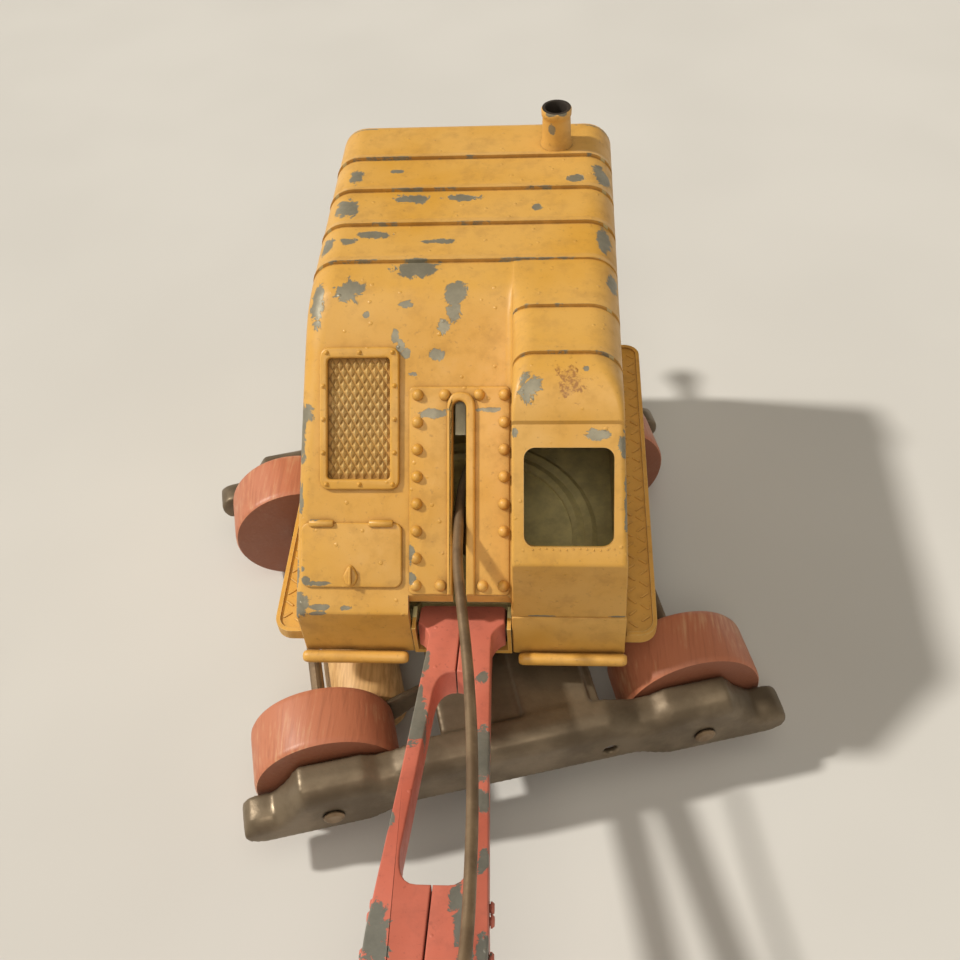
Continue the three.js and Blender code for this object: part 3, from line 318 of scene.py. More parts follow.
def turned_wood(name, light, dark, paint=None):
    """Turned wood with streaks along its axle, bare or under thin rubbed paint."""
    s = Shader(name)
    along = Matrix.Rotation(-CHASSIS_YAW, 4, "Z").to_euler()
    turn = s.node("ShaderNodeMapping")
    turn.inputs["Rotation"].default_value = along
    turn.inputs["Scale"].default_value = (1.0, 0.06, 1.0)
    s.link(s.coords, turn.inputs["Vector"])
    streak = s.node("ShaderNodeTexNoise")
    s.link(turn.outputs[0], streak.inputs["Vector"])
    streak.inputs["Scale"].default_value = 900
    streak.inputs["Detail"].default_value = 6
    grain = streak.outputs["Fac"]
    blotch = s.noise(60, 4)
    color = s.mix(s.ramp(grain, 0.35, 0.68), light, dark)
    if paint:
        cover = s.math("ADD", s.math("MULTIPLY", grain, 0.55), s.math("MULTIPLY", blotch, 0.65))
        cover = s.math("SUBTRACT", cover, s.math("MULTIPLY", s.edge(0.0012), 0.25))
        color = s.mix(s.ramp(cover, 0.36, 0.60), color, paint)
        color = s.mix(s.ramp(grain, 0.5, 0.72, 0.0, 0.35), color, [c * 0.6 for c in paint])
    # painted shade: faces across the axle, the ends of the wheels and roller, are darkened
    facing = s.node("ShaderNodeVectorMath", operation="DOT_PRODUCT")
    s.link(s.coords.node.outputs["Normal"], facing.inputs[0])
    facing.inputs[1].default_value = (-math.sin(CHASSIS_YAW), math.cos(CHASSIS_YAW), 0)
    end_face_shade = s.ramp(s.math("ABSOLUTE", facing.outputs["Value"]), 0.6, 0.9, 0.0, 0.8 if paint else 0.3)
    color = s.mix(end_face_shade, color, [c * 0.42 for c in (paint or dark)])
    roughness = s.ramp(blotch, 0.3, 0.7, 0.38, 0.6)
    return s.finish(color, roughness, 0.0, s.bump(grain, 0.5, 0.00025))


# ------------------------------------------------------------------ mesh helpers
def link_object(name, mesh, material, body, nodes=(), smooth=32, inner=None):
    piece = bpy.data.objects.new(name, mesh)
    bpy.context.scene.collection.objects.link(piece)
    for polygon in mesh.polygons:
        polygon.use_smooth = True
    mesh.set_sharp_from_angle(angle=smooth * RAD)
    mesh.materials.clear()
    mesh.materials.append(material)
    if inner:
        mesh.materials.append(inner)
    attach(piece, body)
    if nodes:
        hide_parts(*nodes)
    return piece


def mesh_from(bm, name, matrix):
    bmesh.ops.transform(bm, matrix=matrix, verts=bm.verts)
    bmesh.ops.recalc_face_normals(bm, faces=bm.faces)
    mesh = bpy.data.meshes.new(name)
    bm.to_mesh(mesh)
    bm.free()
    return mesh


def solid_from_rings(rings):
    """A closed skin through rings of equal length, with an n-gon at each end."""
    bm = bmesh.new()
    rows = [[bm.verts.new(p) for p in ring] for ring in rings]
    count = len(rows[0])
    for near, far in zip(rows, rows[1:]):
        for i in range(count):
            j = (i + 1) % count
            bm.faces.new((near[i], near[j], far[j], far[i]))
    bm.faces.new(rows[0])
    bm.faces.new(list(reversed(rows[-1])))
    return bm


def prism(outline, low, high, bevel=0.0, segments=2, hole=None):
    """An outline in local x-y pushed from low to high, its upper rim rounded."""
    bm = bmesh.new()
    loops = [outline] + ([hole] if hole else [])
    edges = []
    for loop in loops:
        verts = [bm.verts.new((x, y, low)) for x, y in loop]
        edges += [bm.edges.new((verts[i], verts[(i + 1) % len(verts)])) for i in range(len(verts))]
    bmesh.ops.triangle_fill(bm, use_beauty=True, edges=edges)
    bmesh.ops.dissolve_limit(bm, angle_limit=0.01, verts=bm.verts, edges=bm.edges)
    faces = list(bm.faces)
    grown = bmesh.ops.extrude_face_region(bm, geom=faces)
    top = [g for g in grown["geom"] if isinstance(g, bmesh.types.BMVert)]
    bmesh.ops.translate(bm, vec=(0, 0, high - low), verts=top)
    bmesh.ops.recalc_face_normals(bm, faces=bm.faces)
    if bevel:
        rim = [e for e in bm.edges if all(abs(v.co.z - high) < 1e-6 for v in e.verts)
               and len(e.link_faces) == 2
               and abs(e.link_faces[0].normal.z - e.link_faces[1].normal.z) > 0.5]
        bmesh.ops.bevel(bm, geom=rim, offset=bevel, segments=segments, affect="EDGES", profile=0.5)
    return bm


def lathe(profile, segments=64):
    """A profile of (radius, height) turned about local z, closed if it ends on the axis."""
    bm = bmesh.new()
    rows = []
    for radius, height in profile:
        if radius < 1e-6:
            rows.append([bm.verts.new((0, 0, height))])
            continue
        turn = [2 * math.pi * i / segments for i in range(segments)]
        rows.append([bm.verts.new((radius * math.cos(a), radius * math.sin(a), height)) for a in turn])
    for near, far in zip(rows, rows[1:]):
        for i in range(segments):
            j = (i + 1) % segments
            quad = [near[i % len(near)], near[j % len(near)], far[j % len(far)], far[i % len(far)]]
            unique = list(dict.fromkeys(quad))
            if len(unique) > 2:
                bm.faces.new(unique)
    return bm


def merged(parts):
    """Several bmeshes, each with its own matrix, as one."""
    total = bmesh.new()
    for bm, matrix in parts:
        bmesh.ops.transform(bm, matrix=matrix, verts=bm.verts)
        scratch = bpy.data.meshes.new("scratch")
        bm.to_mesh(scratch)
        bm.free()
        total.from_mesh(scratch)
        bpy.data.meshes.remove(scratch)
    return total


def arc(cx, cy, radius, start, end, steps):
    points = []
    for i in range(steps + 1):
        a = (start + (end - start) * i / steps) * RAD
        points.append((cx + radius * math.cos(a), cy + radius * math.sin(a)))
    return points


def rounded(x0, x1, y0, y1, radius, steps=6):
    return (arc(x1 - radius, y0 + radius, radius, -90, 0, steps)
            + arc(x1 - radius, y1 - radius, radius, 0, 90, steps)
            + arc(x0 + radius, y1 - radius, radius, 90, 180, steps)
            + arc(x0 + radius, y0 + radius, radius, 180, 270, steps))


def curve(start, control, end, steps=6):
    points = []
    for i in range(1, steps + 1):
        t = i / steps
        points.append(tuple((1 - t) ** 2 * a + 2 * t * (1 - t) * b + t * t * c
                            for a, b, c in zip(start, control, end)))
    return points


def cut(target, cutters):
    """The mesh of an object after exact boolean cuts."""
    for cutter in cutters:
        modifier = target.modifiers.new("cut", "BOOLEAN")
        modifier.operation = "DIFFERENCE"
        modifier.solver = "EXACT"
        modifier.object = cutter
    graph = bpy.context.evaluated_depsgraph_get()
    result = bpy.data.meshes.new_from_object(target.evaluated_get(graph))
    for old in [target, *cutters]:
        bpy.data.objects.remove(old)
    return result


def scratch_object(bm, matrix):
    mesh = mesh_from(bm, "scratch", matrix)
    obj = bpy.data.objects.new("scratch", mesh)
    bpy.context.scene.collection.objects.link(obj)
    return obj


# ------------------------------------------------------------------ house shell
HALF_WIDTH = 44.85
DRAFT = 0.04
ROOF_Z = 120.1
LIP_RISE = 0.9
LIP_RUN = 3.4
FIRST_STEP = 77.5
PITCH = 16.9
LENGTH = 149.0
WALL = 2.2
RIDGES = [FIRST_STEP + i * PITCH for i in range(4)]
CAB_RIDGES = (40.4, 58.3)
LIP_Y = 24.75
CAB_WALL_X = 14.2


def smooth_step(t):
    t = min(1.0, max(0.0, t))
    return t * t * (3 - 2 * t)


def half_width(z):
    return HALF_WIDTH - DRAFT * max(0.0, z - BELT_Z)


def roof_top(y):
    z = ROOF_Z
    for ridge in RIDGES:
        if y >= ridge:
            z += LIP_RISE * (1 - smooth_step((y - ridge) / LIP_RUN))
        elif y > ridge - 0.9:
            z -= 0.25 * smooth_step((y - ridge + 0.9) / 0.7)
    tail = max(0.0, y - (LENGTH - 3.6))
    return z - 3.6 + math.sqrt(max(0.0, 3.6 ** 2 - tail ** 2))


def hull_top(y, inset):
    hood = BELT_Z + y * math.tan(HOOD_SLOPE) - inset / math.cos(HOOD_SLOPE)
    roof = roof_top(y) - inset
    return (hood + roof - math.hypot(hood - roof, 4)) / 2


def cab_top(y, inset):
    if y < LIP_Y:
        return SILL_Z + y * math.tan(GLASS_SLOPE) - inset / math.cos(GLASS_SLOPE)
    t = min(1.0, (y - LIP_Y) / (CAB_RIDGES[0] - 0.2 - LIP_Y))
    z = 110.7 + 8.5 * (1 - (1 - t) ** 2.3)
    for ridge, rise in zip(CAB_RIDGES, (0.25, 0.55)):
        if y >= ridge:
            z += rise + (0.8 - rise) * (1 - smooth_step((y - ridge) / LIP_RUN))
        elif y > ridge - 0.8:
            z -= 0.22 * smooth_step((y - ridge + 0.8) / 0.6)
    return z - inset * (1.5 - 0.5 * t)


def house_section(y, inset=0.0, shrink=0.0):
    """One cross-section: left wall, left shoulder, hood, cab wall, cab roof, right shoulder, wall."""
    hull = hull_top(y, inset) - shrink
    cab = max(hull, cab_top(y, inset) - shrink) if y < FIRST_STEP else hull
    step = cab - hull
    past_lip = smooth_step((y - LIP_Y) / (CAB_RIDGES[0] - LIP_Y))
    high = min(1.0, max(0.0, (hull - BELT_Z) / (ROOF_Z - BELT_Z)))
    left_r = max(1.0, 2.5 + 6 * high ** 2 - inset)
    right_r = max(0.8, 1.6 + 6.9 * past_lip - inset)
    crown_r = 0.8 + 4.7 * past_lip
    foot = SKIRT_Z - (3 if inset else 0)
    side = half_width(foot) - inset - shrink
    points = []
    spring = hull - left_r
    left = half_width(spring) - inset - shrink
    for t in (0, 0.35, 0.7, 0.9):
        points.append((-side + (side - left) * t, foot + (spring - foot) * t))
    for i in range(9):
        a = i / 8 * math.pi / 2
        points.append((-left + left_r * (1 - math.cos(a)), spring + left_r * math.sin(a)))
    wall_x = CAB_WALL_X + inset + shrink
    fillet = 2.2
    flat = -left + left_r
    for i in range(1, 8):
        points.append((flat + (wall_x - fillet - flat) * i / 8, hull))
    drop = min(fillet, 0.42 * step)
    for i in range(7):
        a = i / 6 * math.pi / 2
        points.append((wall_x - fillet * (1 - math.sin(a)), hull + drop * (1 - math.cos(a))))
    lean = 0.022 * step
    brow = min(crown_r, 0.5 * step)
    for i in range(8):
        a = i / 7 * math.pi / 2
        points.append((wall_x + lean + crown_r * (1 - math.cos(a)), cab - brow * (1 - math.sin(a))))
    right_spring = cab - right_r
    right = half_width(right_spring) - inset - shrink
    start = wall_x + lean + crown_r
    for i in range(1, 6):
        points.append((start + (right - right_r - start) * i / 6, cab))
    for i in range(9):
        a = i / 8 * math.pi / 2
        points.append((right - right_r * (1 - math.sin(a)), right_spring + right_r * math.cos(a)))
    for t in (0.9, 0.7, 0.35, 0):
        points.append((side - (side - right) * t, foot + (right_spring - foot) * t))
    return [(x, y, z) for x, z in points]


def house_stations():
    ys = [2, 6, 12, 18, 22, 24, LIP_Y - 0.02, LIP_Y + 0.1, 25.3, 26.2, 27.6, 29.4, 31.6, 34, 36.6, 38.6]
    for ridge in (*CAB_RIDGES, *RIDGES):
        ys += [ridge - 0.9, ridge - 0.5, ridge - 0.16, ridge - 0.01, ridge + 0.02, ridge + 0.3,
               ridge + 0.8, ridge + 1.5, ridge + 2.4, ridge + LIP_RUN]
    ys += [46, 51, 55.5, 63, 65.5, 68, 71, 74]
    ys += [LENGTH - 3.6 + 3.6 * math.sin(a * RAD) for a in (0, 25, 45, 62, 76)]
    return sorted(ys)


def house_shell(material, inside):
    front = [(0.0, 0.55), (0.16, 0.2), (0.5, 0.0)]
    rings = [house_section(y, 0.0, shrink) for y, shrink in front]
    rings += [house_section(y) for y in house_stations()]
    rings += [house_section(LENGTH - 0.03, 0.0, 0.3)]
    inner_stations = [WALL, 4, 10, 20, LIP_Y, 28, 32, 36, 41, 48, 55, 60, 65, 70, 77, 80, 100, 120,
                      LENGTH - 4, LENGTH - WALL]
    inner = [house_section(y, WALL) for y in inner_stations]
    box_deck = rounded(-60, 60, WALL + 0.05, LENGTH + 4, 0.01, 1)
    window = rounded(17.8, 40.4, 4.8, 29.8, 2.8, 6)
    slot = [(-1.85, 2), (1.85, 2)] + arc(0, 55.55, 1.85, 0, 180, 10)
    grille = rounded(-35.9, -18.7, 36.2, 69.3, 1.2, 4)
    notch = [(-13.9, -3), (13.9, -3), (13.9, 3.9), (-13.9, 3.9)]
    lever = [(-2.6, LENGTH - 5), (2.6, LENGTH - 5), (2.6, LENGTH + 3), (-2.6, LENGTH + 3)]
    body = scratch_object(solid_from_rings(rings), HOUSE)
    cutters = [
        scratch_object(solid_from_rings(inner), HOUSE),
        scratch_object(prism(box_deck, SKIRT_Z - 2, 48.7), HOUSE),
        scratch_object(prism(notch, SKIRT_Z - 2, 65.4), HOUSE),
        scratch_object(prism(lever, 52, 114), HOUSE),
        scratch_object(prism(window, -6, 3), GLASS),
        scratch_object(prism(slot, -8, 3), HOOD),
        scratch_object(prism(grille, -1.1, 3), HOOD),
    ]
    mesh = cut(body, cutters)
    to_house = HOUSE.inverted()
    hidden = set()
    for polygon in mesh.polygons:
        x, y, z = to_house @ polygon.center
        top = hull_top(y, 0.0)
        if x > CAB_WALL_X + 1.5 and y < FIRST_STEP:
            top = max(top, cab_top(y, 0.0))
        deep = min(half_width(z) - abs(x), y, LENGTH - y, (top - z) * 0.72)
        if deep > 0.8 * WALL:
            hidden.add(polygon.index)
    piece = link_object("house_casting", mesh, material, "house", ["house_shell"], 28,
                        inner=inside)
    for polygon in mesh.polygons:
        polygon.material_index = 1 if polygon.index in hidden else 0
    even = piece.modifiers.new("even_shading", "WEIGHTED_NORMAL")
    even.keep_sharp = True
    even.weight = 80
    return piece


# ------------------------------------------------------------------ details of the hood
def slot_plate(material):
    """Riveted plate with the control slot, and the raised rim round the slot."""
    half = 1.85
    top = 57.4
    slot = arc(0, top - half, half, 0, 180, 12)
    shape = ([(half, 5.4), (12.3, 5.4)] + arc(12.3, 6.7, 1.3, -90, 0, 6)[1:]
             + arc(12.3, 60.0, 1.3, 0, 90, 6) + arc(-12.3, 60.0, 1.3, 90, 180, 6)
             + arc(-12.3, 6.7, 1.3, 180, 270, 6) + [(-half, 5.4)] + list(reversed(slot)))
    plate = prism(shape, -0.5, 0.8, 0.45, 3)
    rim_left = 3.3
    rim_right = 4.3
    crown = top + 2.4
    spring = top - 2
    outer = ([(rim_right, 5.4), (rim_right, spring)]
             + curve((rim_right, spring), (rim_right, crown), (0.4, crown), 6)
             + curve((0.4, crown), (-rim_left, crown), (-rim_left, spring), 6) + [(-rim_left, 5.4)])
    rim_shape = outer + [(-half, 5.4)] + list(reversed(slot)) + [(half, 5.4)]
    rim = prism(rim_shape, 0.2, 2.0, 0.75, 4)
    bm = merged([(plate, IDENTITY), (rim, IDENTITY)])
    return link_object("slot_plate", mesh_from(bm, "slot_plate", HOOD), material, "house",
                       smooth=40)


def dome(radius, height):
    shape = [(1.12, -0.3 / height), (1.08, 0.1 / height), (0.97, 0.35), (0.78, 0.7), (0.45, 0.94),
             (0, 1)]
    return lathe([(radius * r, height * h) for r, h in shape], 20)


def plate_rivets(material):
    pitch = 7.3
    top_row = 59.0
    spots = [(-11.2 - 0.08 * i, top_row - pitch * i) for i in range(8)]
    spots += [(12.1 - 0.04 * i, top_row - pitch * i) for i in range(8)]
    spots += [(-3.9, top_row), (5.3, top_row), (-5.0, top_row - 7 * pitch), (6.2, top_row - 7 * pitch)]
    parts = []
    missing = top_row - 6 * pitch
    for x, s in spots:
        if x > 0 and abs(s - missing) < 1:
            continue
        parts.append((dome(1.5, 1.7), Matrix.Translation((x, s, 0.7))))
    return link_object("plate_rivets", mesh_from(merged(parts), "plate_rivets", HOOD), material,
                       "house", smooth=60)


def grille(material):
    outline = rounded(-37.9, -16.2, 33.6, 72.0, 2.6)
    hole = rounded(-35.8, -18.8, 36.4, 69.1, 1.0)
    parts = [(prism(outline, -0.5, 1.15, 0.55, 3, hole=list(reversed(hole))), IDENTITY)]
    places = [(x, s) for s in (70.5, 35.0) for x in (-36, -27, -18)]
    places += [(x, s) for x in (-36.9, -17.5) for s in (43.5, 52.5, 61.5)]
    for x, s in places:
        stud = lathe([(0.85, 0.9), (0.6, 1.4), (0.15, 1.85), (0, 1.9)], 8)
        parts.append((stud, Matrix.Translation((x, s, 0))))
    return link_object("grille_frame", mesh_from(merged(parts), "grille_frame", HOOD), material,
                       "house", smooth=50)


def grille_mesh(material):
    """Lattice of little raised pyramids that fills the grille."""
    bm = bmesh.new()
    width = 17.2 / 8
    length = 33.1 / 9
    x0, s0 = -35.9, 36.2
    peak = -0.05
    floor = -1.15
    for row in range(19):
        offset = 0.5 * (row % 2)
        for column in range(9):
            cx = x0 + (column + offset) * width
            cs = s0 + row * length / 2
            if cx - width / 2 < x0 - 0.2 or cx + width / 2 > x0 + 17.4:
                continue
            if cs - length / 2 < s0 - 0.2 or cs + length / 2 > s0 + 33.3:
                continue
            wide, long = width * 0.48, length * 0.48
            rim = [(cx - wide, cs), (cx, cs - long), (cx + wide, cs), (cx, cs + long)]
            base = [bm.verts.new((x, s, floor)) for x, s in rim]
            collar = [bm.verts.new((cx + (x - cx) * 0.45, cs + (s - cs) * 0.45, peak - 0.4))
                      for x, s in rim]
            tip = bm.verts.new((cx, cs, peak))
            bottom = [bm.verts.new((x, s, floor - 0.3)) for x, s in rim]
            for i in range(4):
                j = (i + 1) % 4
                bm.faces.new((base[i], base[j], collar[j], collar[i]))
                bm.faces.new((collar[i], collar[j], tip))
                bm.faces.new((bottom[i], bottom[j], base[j], base[i]))
            bm.faces.new(list(reversed(bottom)))
    return link_object("grille_mesh", mesh_from(bm, "grille_mesh", HOOD), material, "house",
                       smooth=30)


def service_door(material):
    door = prism(rounded(-43.0, -15.5, 7.2, 24.7, 2.2), -1.2, 0.85, 0.5, 3)
    parts = [(door, IDENTITY)]
    for x0, x1 in ((-40.7, -34.1), (-24.4, -17.9)):
        long = x1 - x0
        knuckle = lathe([(0, 0), (0.75, 0), (1, 0.3), (1, long - 0.3), (0.75, long), (0, long)], 16)
        parts.append((knuckle, Matrix.Translation((x0, 24.5, 0.9)) @ quarter("Y")))
    drop = []
    for i in range(24):
        a = i / 24 * 2 * math.pi
        narrow = 1 - 0.45 * max(0.0, math.sin(a))
        drop.append((-29.4 + 2.0 * narrow * math.cos(a), 10.4 + 2.9 * math.sin(a)))
    parts.append((prism(drop, 0.5, 1.7, 0.6, 3), IDENTITY))
    parts.append((prism(rounded(-29.8, -29.0, 8.0, 13.0, 0.35, 3), 1.4, 2.6, 0.3, 2), IDENTITY))
    return link_object("service_door", mesh_from(merged(parts), "service_door", HOOD), material,
                       "house", smooth=45)


def cab_details(material):
    """Proud lower front of the cab, and a row of casting pips below the window."""
    right = half_width(BELT_Z) - 0.2
    outline = rounded(CAB_WALL_X - 0.2, right, SKIRT_Z + 0.2, BELT_Z - 0.4, 0.6, 3)
    parts = [(prism(outline, -0.4, 0.5, 0.3, 2), HOUSE @ quarter("X"))]
    for x in [20 + 1.7 * i for i in range(13)]:
        pip = lathe([(0.28, 0), (0.2, 0.16), (0, 0.22)], 8)
        parts.append((pip, GLASS @ Matrix.Translation((x, 4.2 + 0.2 * math.sin(x * 3), 0))))
    return link_object("cab_details", mesh_from(merged(parts), "cab_details", IDENTITY), material,
                       "house", smooth=45)


def walkway_tread(material):
    """Short raised bars at two slants, as on tread plate."""
    parts = []
    for side in (-1, 1):
        for row in range(28):
            for column in range(2):
                x = side * (47.3 + 3.5 * column)
                y = 6.5 + 4.0 * row + 2.0 * column
                slant = 38 if (row + column) % 2 else -38
                bar = prism(rounded(-1.45, 1.45, -0.32, 0.32, 0.3, 3), 0, 0.45, 0.18, 2)
                turn = Matrix.Rotation(slant * RAD, 4, "Z")
                parts.append((bar, Matrix.Translation((x, y, 48.3)) @ turn))
    return link_object("walkway_tread", mesh_from(merged(parts), "walkway_tread", HOUSE), material,
                       "house", smooth=45)


def exhaust(material, bore_shade):
    """Flared pipe, a little lower than its CAD node, with painted shade inside its bore."""
    low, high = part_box("exhaust_stack")
    center = (low + high) / 2
    tall = (high.z - low.z) / MM - 1.3
    profile = [(0, 0.4), (5.0, -0.2), (4.75, 0.5), (4.45, 1.4), (4.25, tall - 3.2), (4.3, tall - 2.6),
               (4.55, tall - 2.2), (4.6, tall - 0.5), (4.35, tall - 0.05), (3.5, tall),
               (3.2, tall - 0.4), (3.0, tall - 6), (0, tall - 6.4)]
    bm = lathe(profile, 48)
    place = Matrix.Translation((center.x, center.y, low.z)) @ Matrix.Scale(MM, 4)
    piece = link_object("exhaust_pipe", mesh_from(bm, "exhaust_pipe", place), material, "house",
                        ["exhaust_stack"], 40, inner=bore_shade)
    # painted shade: the inside of the bore takes the near-black second material
    for polygon in piece.data.polygons:
        away = Vector((polygon.center.x - center.x, polygon.center.y - center.y)).length
        in_bore = away < 4.0 * MM and polygon.center.z > center.z
        polygon.material_index = 1 if in_bore else 0
    return piece


def step_bars(material):
    for side in ("left", "right"):
        low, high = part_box(f"step_bar_{side}")
        center = (low + high) / 2
        length = (high.x - low.x) / MM
        r = (high.z - low.z) / MM / 2
        near = [(0, 0), (r * 0.55, 0.05), (r * 0.8, 0.35), (r * 0.97, 1.2), (r, 2.0)]
        profile = near + [(width, length - along) for width, along in reversed(near)]
        place = Matrix.Translation((low.x, center.y, center.z)) @ quarter("Y") @ Matrix.Scale(MM, 4)
        link_object(f"step_rail_{side}", mesh_from(lathe(profile, 32), "step_rail", place), material,
                    "house", [f"step_bar_{side}"], 50)


# ------------------------------------------------------------------ boom
def boom_outline(side):
    """Half of the boom between its outer edge and the seam, as (x, -distance from the foot)."""
    seam = 0.15
    outer = [(seam, -4.2), (10.9, -4.2), (11.9, -3.2), (11.9, 3.0)]
    outer += curve((11.9, 3.0), (9.4, 4.6), (8.5, 8.2), 5) + [(8.6, 14)]
    outer += curve((8.6, 14), (10.3, 58), (12.0, 86), 8) + curve((12.0, 86), (12.3, 92), (12.6, 96), 2)
    outer += [(12.6, 164)] + curve((12.6, 164), (9.5, 174), (8, 184), 5)
    outer += [(8 * math.cos(a * RAD), 186 + 8 * math.sin(a * RAD)) for a in (0, 20, 40, 58, 71)]
    inner = [(2.5, 193.6), (2.5, 175.1), (seam, 175.1), (seam, 172)]
    inner += curve((seam, 172), (3.3, 172), (3.3, 168.7), 4)
    inner += [(3.3, 121.3)] + curve((3.3, 121.3), (3.3, 118), (seam, 118), 4)
    inner += [(seam, 85.9), (3.4, 85.9)] + curve((3.4, 85.9), (7.9, 85.9), (7.8, 77.0), 6)
    inner += [(5.4, 30)] + curve((5.4, 30), (4.9, 21.9), (seam, 21.9), 7)
    return [(side * x, -s) for x, s in outer + inner]


def boom_halves(material):
    for side, name in ((1, "right"), (-1, "left")):
        outline = boom_outline(side)
        bm = prism(outline, -3.5, 4.5, 0.5, 3)
        link_object(f"boom_plate_{name}", mesh_from(bm, "boom_plate", BOOM), material, "boom",
                    [f"boom_half_{name}"], 35)


# ------------------------------------------------------------------ wheels and roller
def wheel_mesh(radius, half, bore):
    near = [(bore, -half + 0.2), (bore + 1.4, -half), (radius - 1.6, -half + 0.05),
            (radius - 0.55, -half + 0.35), (radius - 0.1, -half + 1.1), (radius, -half + 2.2)]
    far = [(r, -height) for r, height in reversed(near)]
    return lathe(near + far + near[:1], 96)


def wheels(painted, bare):
    lay = (Matrix.Rotation(CHASSIS_YAW, 4, "Z") @ Matrix.Rotation(-math.pi / 2, 4, "X")
           @ Matrix.Scale(MM, 4))
    for row in ("front", "rear"):
        for end in ("left", "right"):
            node = f"wheel_{row}_{end}"
            place = Matrix.Translation(middle(node)) @ lay
            link_object(f"{node}_turned", mesh_from(wheel_mesh(20.72, 9.05, 2.3), node, place),
                        painted, node, [node], 35)
    place = Matrix.Translation(middle("idler_roller")) @ lay
    link_object("roller_turned", mesh_from(wheel_mesh(11.6, 33, 1.8), "roller", place),
                bare, "roller", ["idler_roller"], 35)


# ------------------------------------------------------------------ control rod
def control_rod(material):
    stud = middle("rod_stud")
    eye = HOUSE.inverted() @ stud
    radius = 1.35
    rod_x = 2.2 + 1.2 + radius
    crank = HOUSE.inverted() @ middle("crank_pin")
    route = [
        (rod_x, eye.y + 3.6, eye.z - 0.6), (rod_x + 0.9, eye.y + 11, eye.z - 2.2),
        (8.2, -112, 96.2), (9, -96.6, 90.6), (8.8, -77, 87.2), (7.9, -57.9, 84.3), (6.1, -37.2, 81.9),
        (4.2, -22, 81.2), (2.1, -8, 80.7), (0.5, 4.6, 80.2), (0, 16, 79.6), (0, 30, 78.6),
        (1.4, 40, 77), (3.5, 50, 73.6), (3.7, crank.y - 3, crank.z - 26),
    ]
    data = bpy.data.curves.new("rod_route", "CURVE")
    data.dimensions = "3D"
    data.bevel_depth = radius * MM
    data.bevel_resolution = 5
    data.use_fill_caps = True
    spline = data.splines.new("BEZIER")
    spline.bezier_points.add(len(route) - 1)
    for point, place in zip(spline.bezier_points, route):
        point.co = HOUSE @ Vector(place)
        point.handle_left_type = "AUTO"
        point.handle_right_type = "AUTO"
    spline.resolution_u = 10
    wire = bpy.data.objects.new("scratch", data)
    bpy.context.scene.collection.objects.link(wire)
    graph = bpy.context.evaluated_depsgraph_get()
    mesh = bpy.data.meshes.new_from_object(wire.evaluated_get(graph))
    bpy.data.objects.remove(wire)
    bm = bmesh.new()
    bm.from_mesh(mesh)
    ring = lathe([(2.8, -radius), (4.1, -radius), (4.4, -1.0), (4.4, 1.0), (4.1, radius), (2.8, radius),
                  (2.8, -radius)], 32)
    place = HOUSE @ Matrix.Translation((rod_x, eye.y, eye.z)) @ quarter("Y")
    whole = merged([(bm, IDENTITY), (ring, place)])
    return link_object("rod_wire", mesh_from(whole, "rod_wire", IDENTITY), material, "rod",
                       ["control_rod"], 50)


# ------------------------------------------------------------------ CAD nodes kept as they are
def keep(node, material):
    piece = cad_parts[node]
    piece.data.materials.clear()
    piece.data.materials.append(material)


def soften(node, voxel, factor=0.5, repeat=3):
    """Rounds every edge of a kept casting with modifiers, leaving its own mesh alone."""
    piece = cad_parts[node]
    remesh = piece.modifiers.new("even", "REMESH")
    remesh.mode = "VOXEL"
    remesh.voxel_size = voxel
    remesh.use_smooth_shade = True
    smooth = piece.modifiers.new("soft", "SMOOTH")
    smooth.factor = factor
    smooth.iterations = repeat


# ------------------------------------------------------------------ stage
WARM_WHITE = (1.0, 0.92, 0.78)


def add_sun(name, energy, angle, color, toward):
    data = bpy.data.lights.new(name, "SUN")
    data.energy = energy
    data.angle = angle * RAD
    data.color = color
    light = bpy.data.objects.new(name, data)
    bpy.context.scene.collection.objects.link(light)
    light.rotation_euler = Vector(toward).to_track_quat("Z", "Y").to_euler()


def make_stage():
    """Pale floor, a sky that is lighter towards the horizon, and three soft suns."""
    mesh = bpy.data.meshes.new("floor")
    size = 3.0
    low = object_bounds()[0].z
    corners = [(-size, -size), (size, -size), (size, size), (-size, size)]
    mesh.from_pydata([(x, y, low) for x, y in corners], [], [(0, 1, 2, 3)])
    floor = bpy.data.objects.new("floor", mesh)
    bpy.context.scene.collection.objects.link(floor)
    s = Shader("floor_paper")
    tone = s.noise(8, 2)
    color = s.mix(s.ramp(tone, 0.3, 0.7), (0.57, 0.56, 0.54), (0.60, 0.59, 0.57))
    mesh.materials.append(s.finish(color, 0.9, 0.0, s.bump(s.noise(600, 2), 0.05, 0.0001)))
    world = bpy.data.worlds.new("studio")
    world.use_nodes = True
    world.node_tree.nodes["Background"].inputs["Color"].default_value = (1.0, 0.93, 0.82, 1)
    tree = world.node_tree
    place = tree.nodes.new("ShaderNodeTexCoord")
    split = tree.nodes.new("ShaderNodeSeparateXYZ")
    fade = tree.nodes.new("ShaderNodeMapRange")
    tree.links.new(place.outputs["Generated"], split.inputs[0])
    tree.links.new(split.outputs["Z"], fade.inputs["Value"])
    for socket, value in (("From Min", 0.18), ("From Max", 0.5), ("To Min", 0.6), ("To Max", 0.08)):
        fade.inputs[socket].default_value = value
    tree.links.new(fade.outputs["Result"], tree.nodes["Background"].inputs["Strength"])
    bpy.context.scene.world = world
    add_sun("key", 3.0, 4, (1.0, 0.95, 0.86), (-0.68, 0.06, 0.73))
    add_sun("fill", 0.6, 45, WARM_WHITE, (0.1, -0.2, 0.97))
    add_sun("front", 0.7, 25, WARM_WHITE, (0.0, -0.62, 0.78))
    bpy.context.scene.view_settings.view_transform = "Standard"


# ------------------------------------------------------------------ worn places of the yellow paint
def at(points, matrix):
    """(x, y, z, half width, half length, maybe half height) in local mm to metres in the row frame"""
    return [(*(matrix @ Vector(p[:3])), *(v * MM for v in p[3:])) for p in points]


